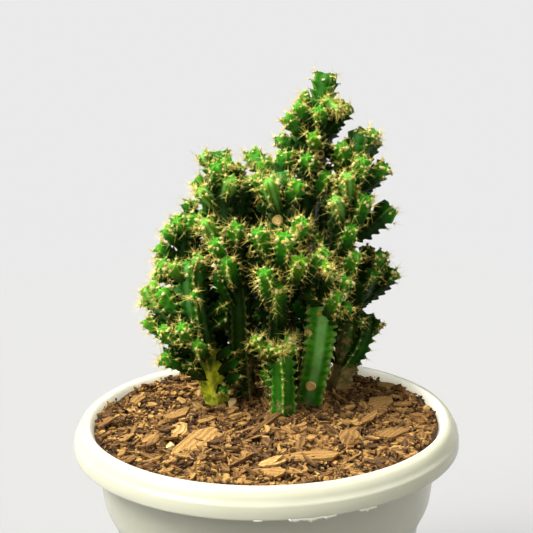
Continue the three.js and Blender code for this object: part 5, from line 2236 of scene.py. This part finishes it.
@dataclass(frozen=True)
class Studio:
    """Camera, pale floor and backdrop, broad suns and a dim sky.

    Attributes:
        eye: Where the camera stands.
        pitch: How far it looks down, yaw to the right and roll over, in degrees.
        focal: Focal length in pixels of a picture frame_width wide.
        sensor: Width of the camera's sensor.
        sides: Points round the floor and the dome, dome_rings the rows of the dome.
        floor_radius: Reach of the paper, floor_rings the rows of points from there to even_to
            and near_rings those inside.
        lit_by_itself: Share of the floor's own light up to even_from, all of it from even_to.
        suns: A key from the upper left, a lower one beside it, a fill from the right and a faint
            one from the front.
        sky: Light of the sky overhead, horizon at eye level and bounce from below.
    """

    eye: Point = (0.0, -279.41, 206.22)
    pitch: float = 10.41
    yaw: float = 0.16
    roll: float = -0.75
    focal: float = 852.0
    frame_width: float = 533.0
    sensor: float = 36.0
    sides: int = 96
    floor_radius: float = 4000.0
    floor_depth: float = -0.05
    floor_rings: int = 4
    near_radius: tuple[float, float] = (1000.0, 20.0)
    near_rings: int = 22
    even_from: float = 250.0
    lit_by_itself: float = 0.1
    even_to: float = 1100.0
    dome_rings: int = 16
    suns: tuple[Sun, ...] = (
        Sun("key", -76.0, 61.0, 42.0, 5.9),
        Sun("side", -60.0, 38.0, 38.0, 1.8),
        Sun("right", 78.0, 30.0, 70.0, 1.05),
        Sun("front", -8.0, 14.0, 40.0, 0.4),
    )
    sky: float = 0.07
    horizon: float = 0.02
    bounce: float = 0.5
    sky_colour: Colour = (1.0, 0.98, 0.90)
    sun_colour: Colour = (1.0, 0.985, 0.93)

    def camera(self) -> None:
        """Looks down at the pot from the front, a little rolled."""
        pitch, yaw, roll = np.radians([self.pitch, self.yaw, self.roll])
        ahead = np.array([np.sin(yaw) * np.cos(pitch), np.cos(yaw) * np.cos(pitch), -np.sin(pitch)])
        right = unit(np.cross(ahead, UP))
        up = np.cross(right, ahead)
        turned_right = np.cos(roll) * right + np.sin(roll) * up
        turned_up = np.cos(roll) * up - np.sin(roll) * right
        data = bpy.data.cameras.new("camera")
        data.sensor_width = self.sensor
        data.lens = self.sensor * self.focal / self.frame_width
        data.clip_start, data.clip_end = 0.01, 50.0
        camera = bpy.data.objects.new("camera", data)
        bpy.context.scene.collection.objects.link(camera)
        turn = Matrix(np.column_stack([turned_right, turned_up, -ahead]).tolist()).to_4x4()
        camera.matrix_world = Matrix.Translation(Vector(self.eye) * MM) @ turn
        bpy.context.scene.camera = camera

    def floor(self, paper: StudioPaper) -> None:
        """A wide disc of paper under the pot and a dome behind everything.

        Args:
            paper: Finish of the floor and of the backdrop.
        """
        angle = bearings(self.sides)
        far = np.linspace(self.floor_radius, self.even_to, self.floor_rings)
        radii = np.concatenate([far, np.linspace(*self.near_radius, self.near_rings)])
        glow = mix(self.lit_by_itself, 1.0, step(self.even_from, self.even_to, radii))
        glow = np.append(np.repeat(glow, self.sides), [0.0, 0.0])
        grid = np.stack([upright(radius, self.floor_depth, angle) for radius in radii])
        disc, dome = Shell(), Shell()
        disc.tube(grid, np.array([[0.0, 0.0, -1.0], [0.0, 0.0, self.floor_depth]]), glow=glow)
        floor = disc.build("studio_floor", paper.floor())
        reach = 1.02 * self.floor_radius
        heights = np.linspace(-0.1, 0.5 * np.pi, self.dome_rings)[:-1]
        grid = np.stack([upright(reach * np.cos(h), reach * np.sin(h), angle) for h in heights])
        dome.tube(grid, np.array([[0.0, 0.0, -500.0], [0.0, 0.0, reach]]))
        backdrop = dome.build("studio_backdrop", paper.backdrop())
        for kind in ("diffuse", "glossy", "transmission", "shadow"):
            setattr(backdrop, f"visible_{kind}", False)
        floor.visible_diffuse = False

    def lamp(self, sun: Sun) -> None:
        """Hangs one of the suns.

        Args:
            sun: Which one.
        """
        data = bpy.data.lights.new(sun.name, "SUN")
        data.energy, data.angle = sun.power, np.radians(sun.spread)
        data.color = self.sun_colour
        lamp = bpy.data.objects.new(sun.name, data)
        bearing, above = np.radians([sun.bearing, sun.height])
        way = (np.sin(bearing) * np.cos(above), -np.cos(bearing) * np.cos(above), np.sin(above))
        lamp.rotation_euler = Vector(way).to_track_quat("Z", "Y").to_euler()
        bpy.context.scene.collection.objects.link(lamp)

    def heavens(self) -> None:
        """A dim sky: its light by the height that a ray looks at, from below to overhead."""
        world = bpy.data.worlds.new("sky")
        world.use_nodes = True
        tree = Tree(world.node_tree)
        place = tree.node("ShaderNodeTexCoord", {}, {}).outputs["Generated"]
        parts = tree.node("ShaderNodeSeparateXYZ", {}, {"Vector": place})
        lift = Value(tree, parts.outputs["Z"]) * 0.5 + 0.5
        tones = ((0.2, self.bounce), (0.46, self.horizon), (0.54, self.horizon), (0.97, self.sky))
        rise = tree.ramp(lift, [(at, (tone,) * 3) for at, tone in tones])
        background = world.node_tree.nodes["Background"]
        tree.feed(background.inputs["Color"], self.sky_colour)
        tree.feed(background.inputs["Strength"], rise)
        bpy.context.scene.world = world

    def build(self) -> None:
        """Sets the whole studio."""
        bpy.context.scene.view_settings.view_transform = "Standard"
        self.camera()
        self.floor(StudioPaper())
        for sun in self.suns:
            self.lamp(sun)
        self.heavens()


# ---------------------------------------------------------------- the whole object


def main() -> None:
    """Builds the studio and every piece, and notes what each comes to."""
    logging.basicConfig(level=logging.INFO, format="%(name)s: %(message)s")
    Studio().build()
    total = Pot().build(CreamPlastic().material())
    log.info("pot: %d triangles", total)
    soil = Soil().build(BarkMix().material())
    log.info("soil: %d triangles", soil)
    total += soil
    plant = Plant(GrowthRule())
    skin, wool, horn = CactusSkin().material(), AreoleWool().material(), SpineHorn().material()
    scars = Shell()
    for plan, limbs in zip(STEMS, plant.stems):
        stem = Stem(plan, limbs, plant)
        shells = stem.build(skin, wool, horn)
        stem.scars(scars)
        counts = [shell.triangles for shell in shells]
        text = "%s: %d limbs, skin %d, wool %d, spines %d triangles"
        log.info(text, plan.name, len(limbs), *counts)
        total += sum(counts)
    present(scars.build("cut_scars", ScarCork().material()))
    log.info("whole object: %d triangles in %d limbs", total + scars.triangles, len(plant.limbs()))


if __name__ == "__main__":
    main()
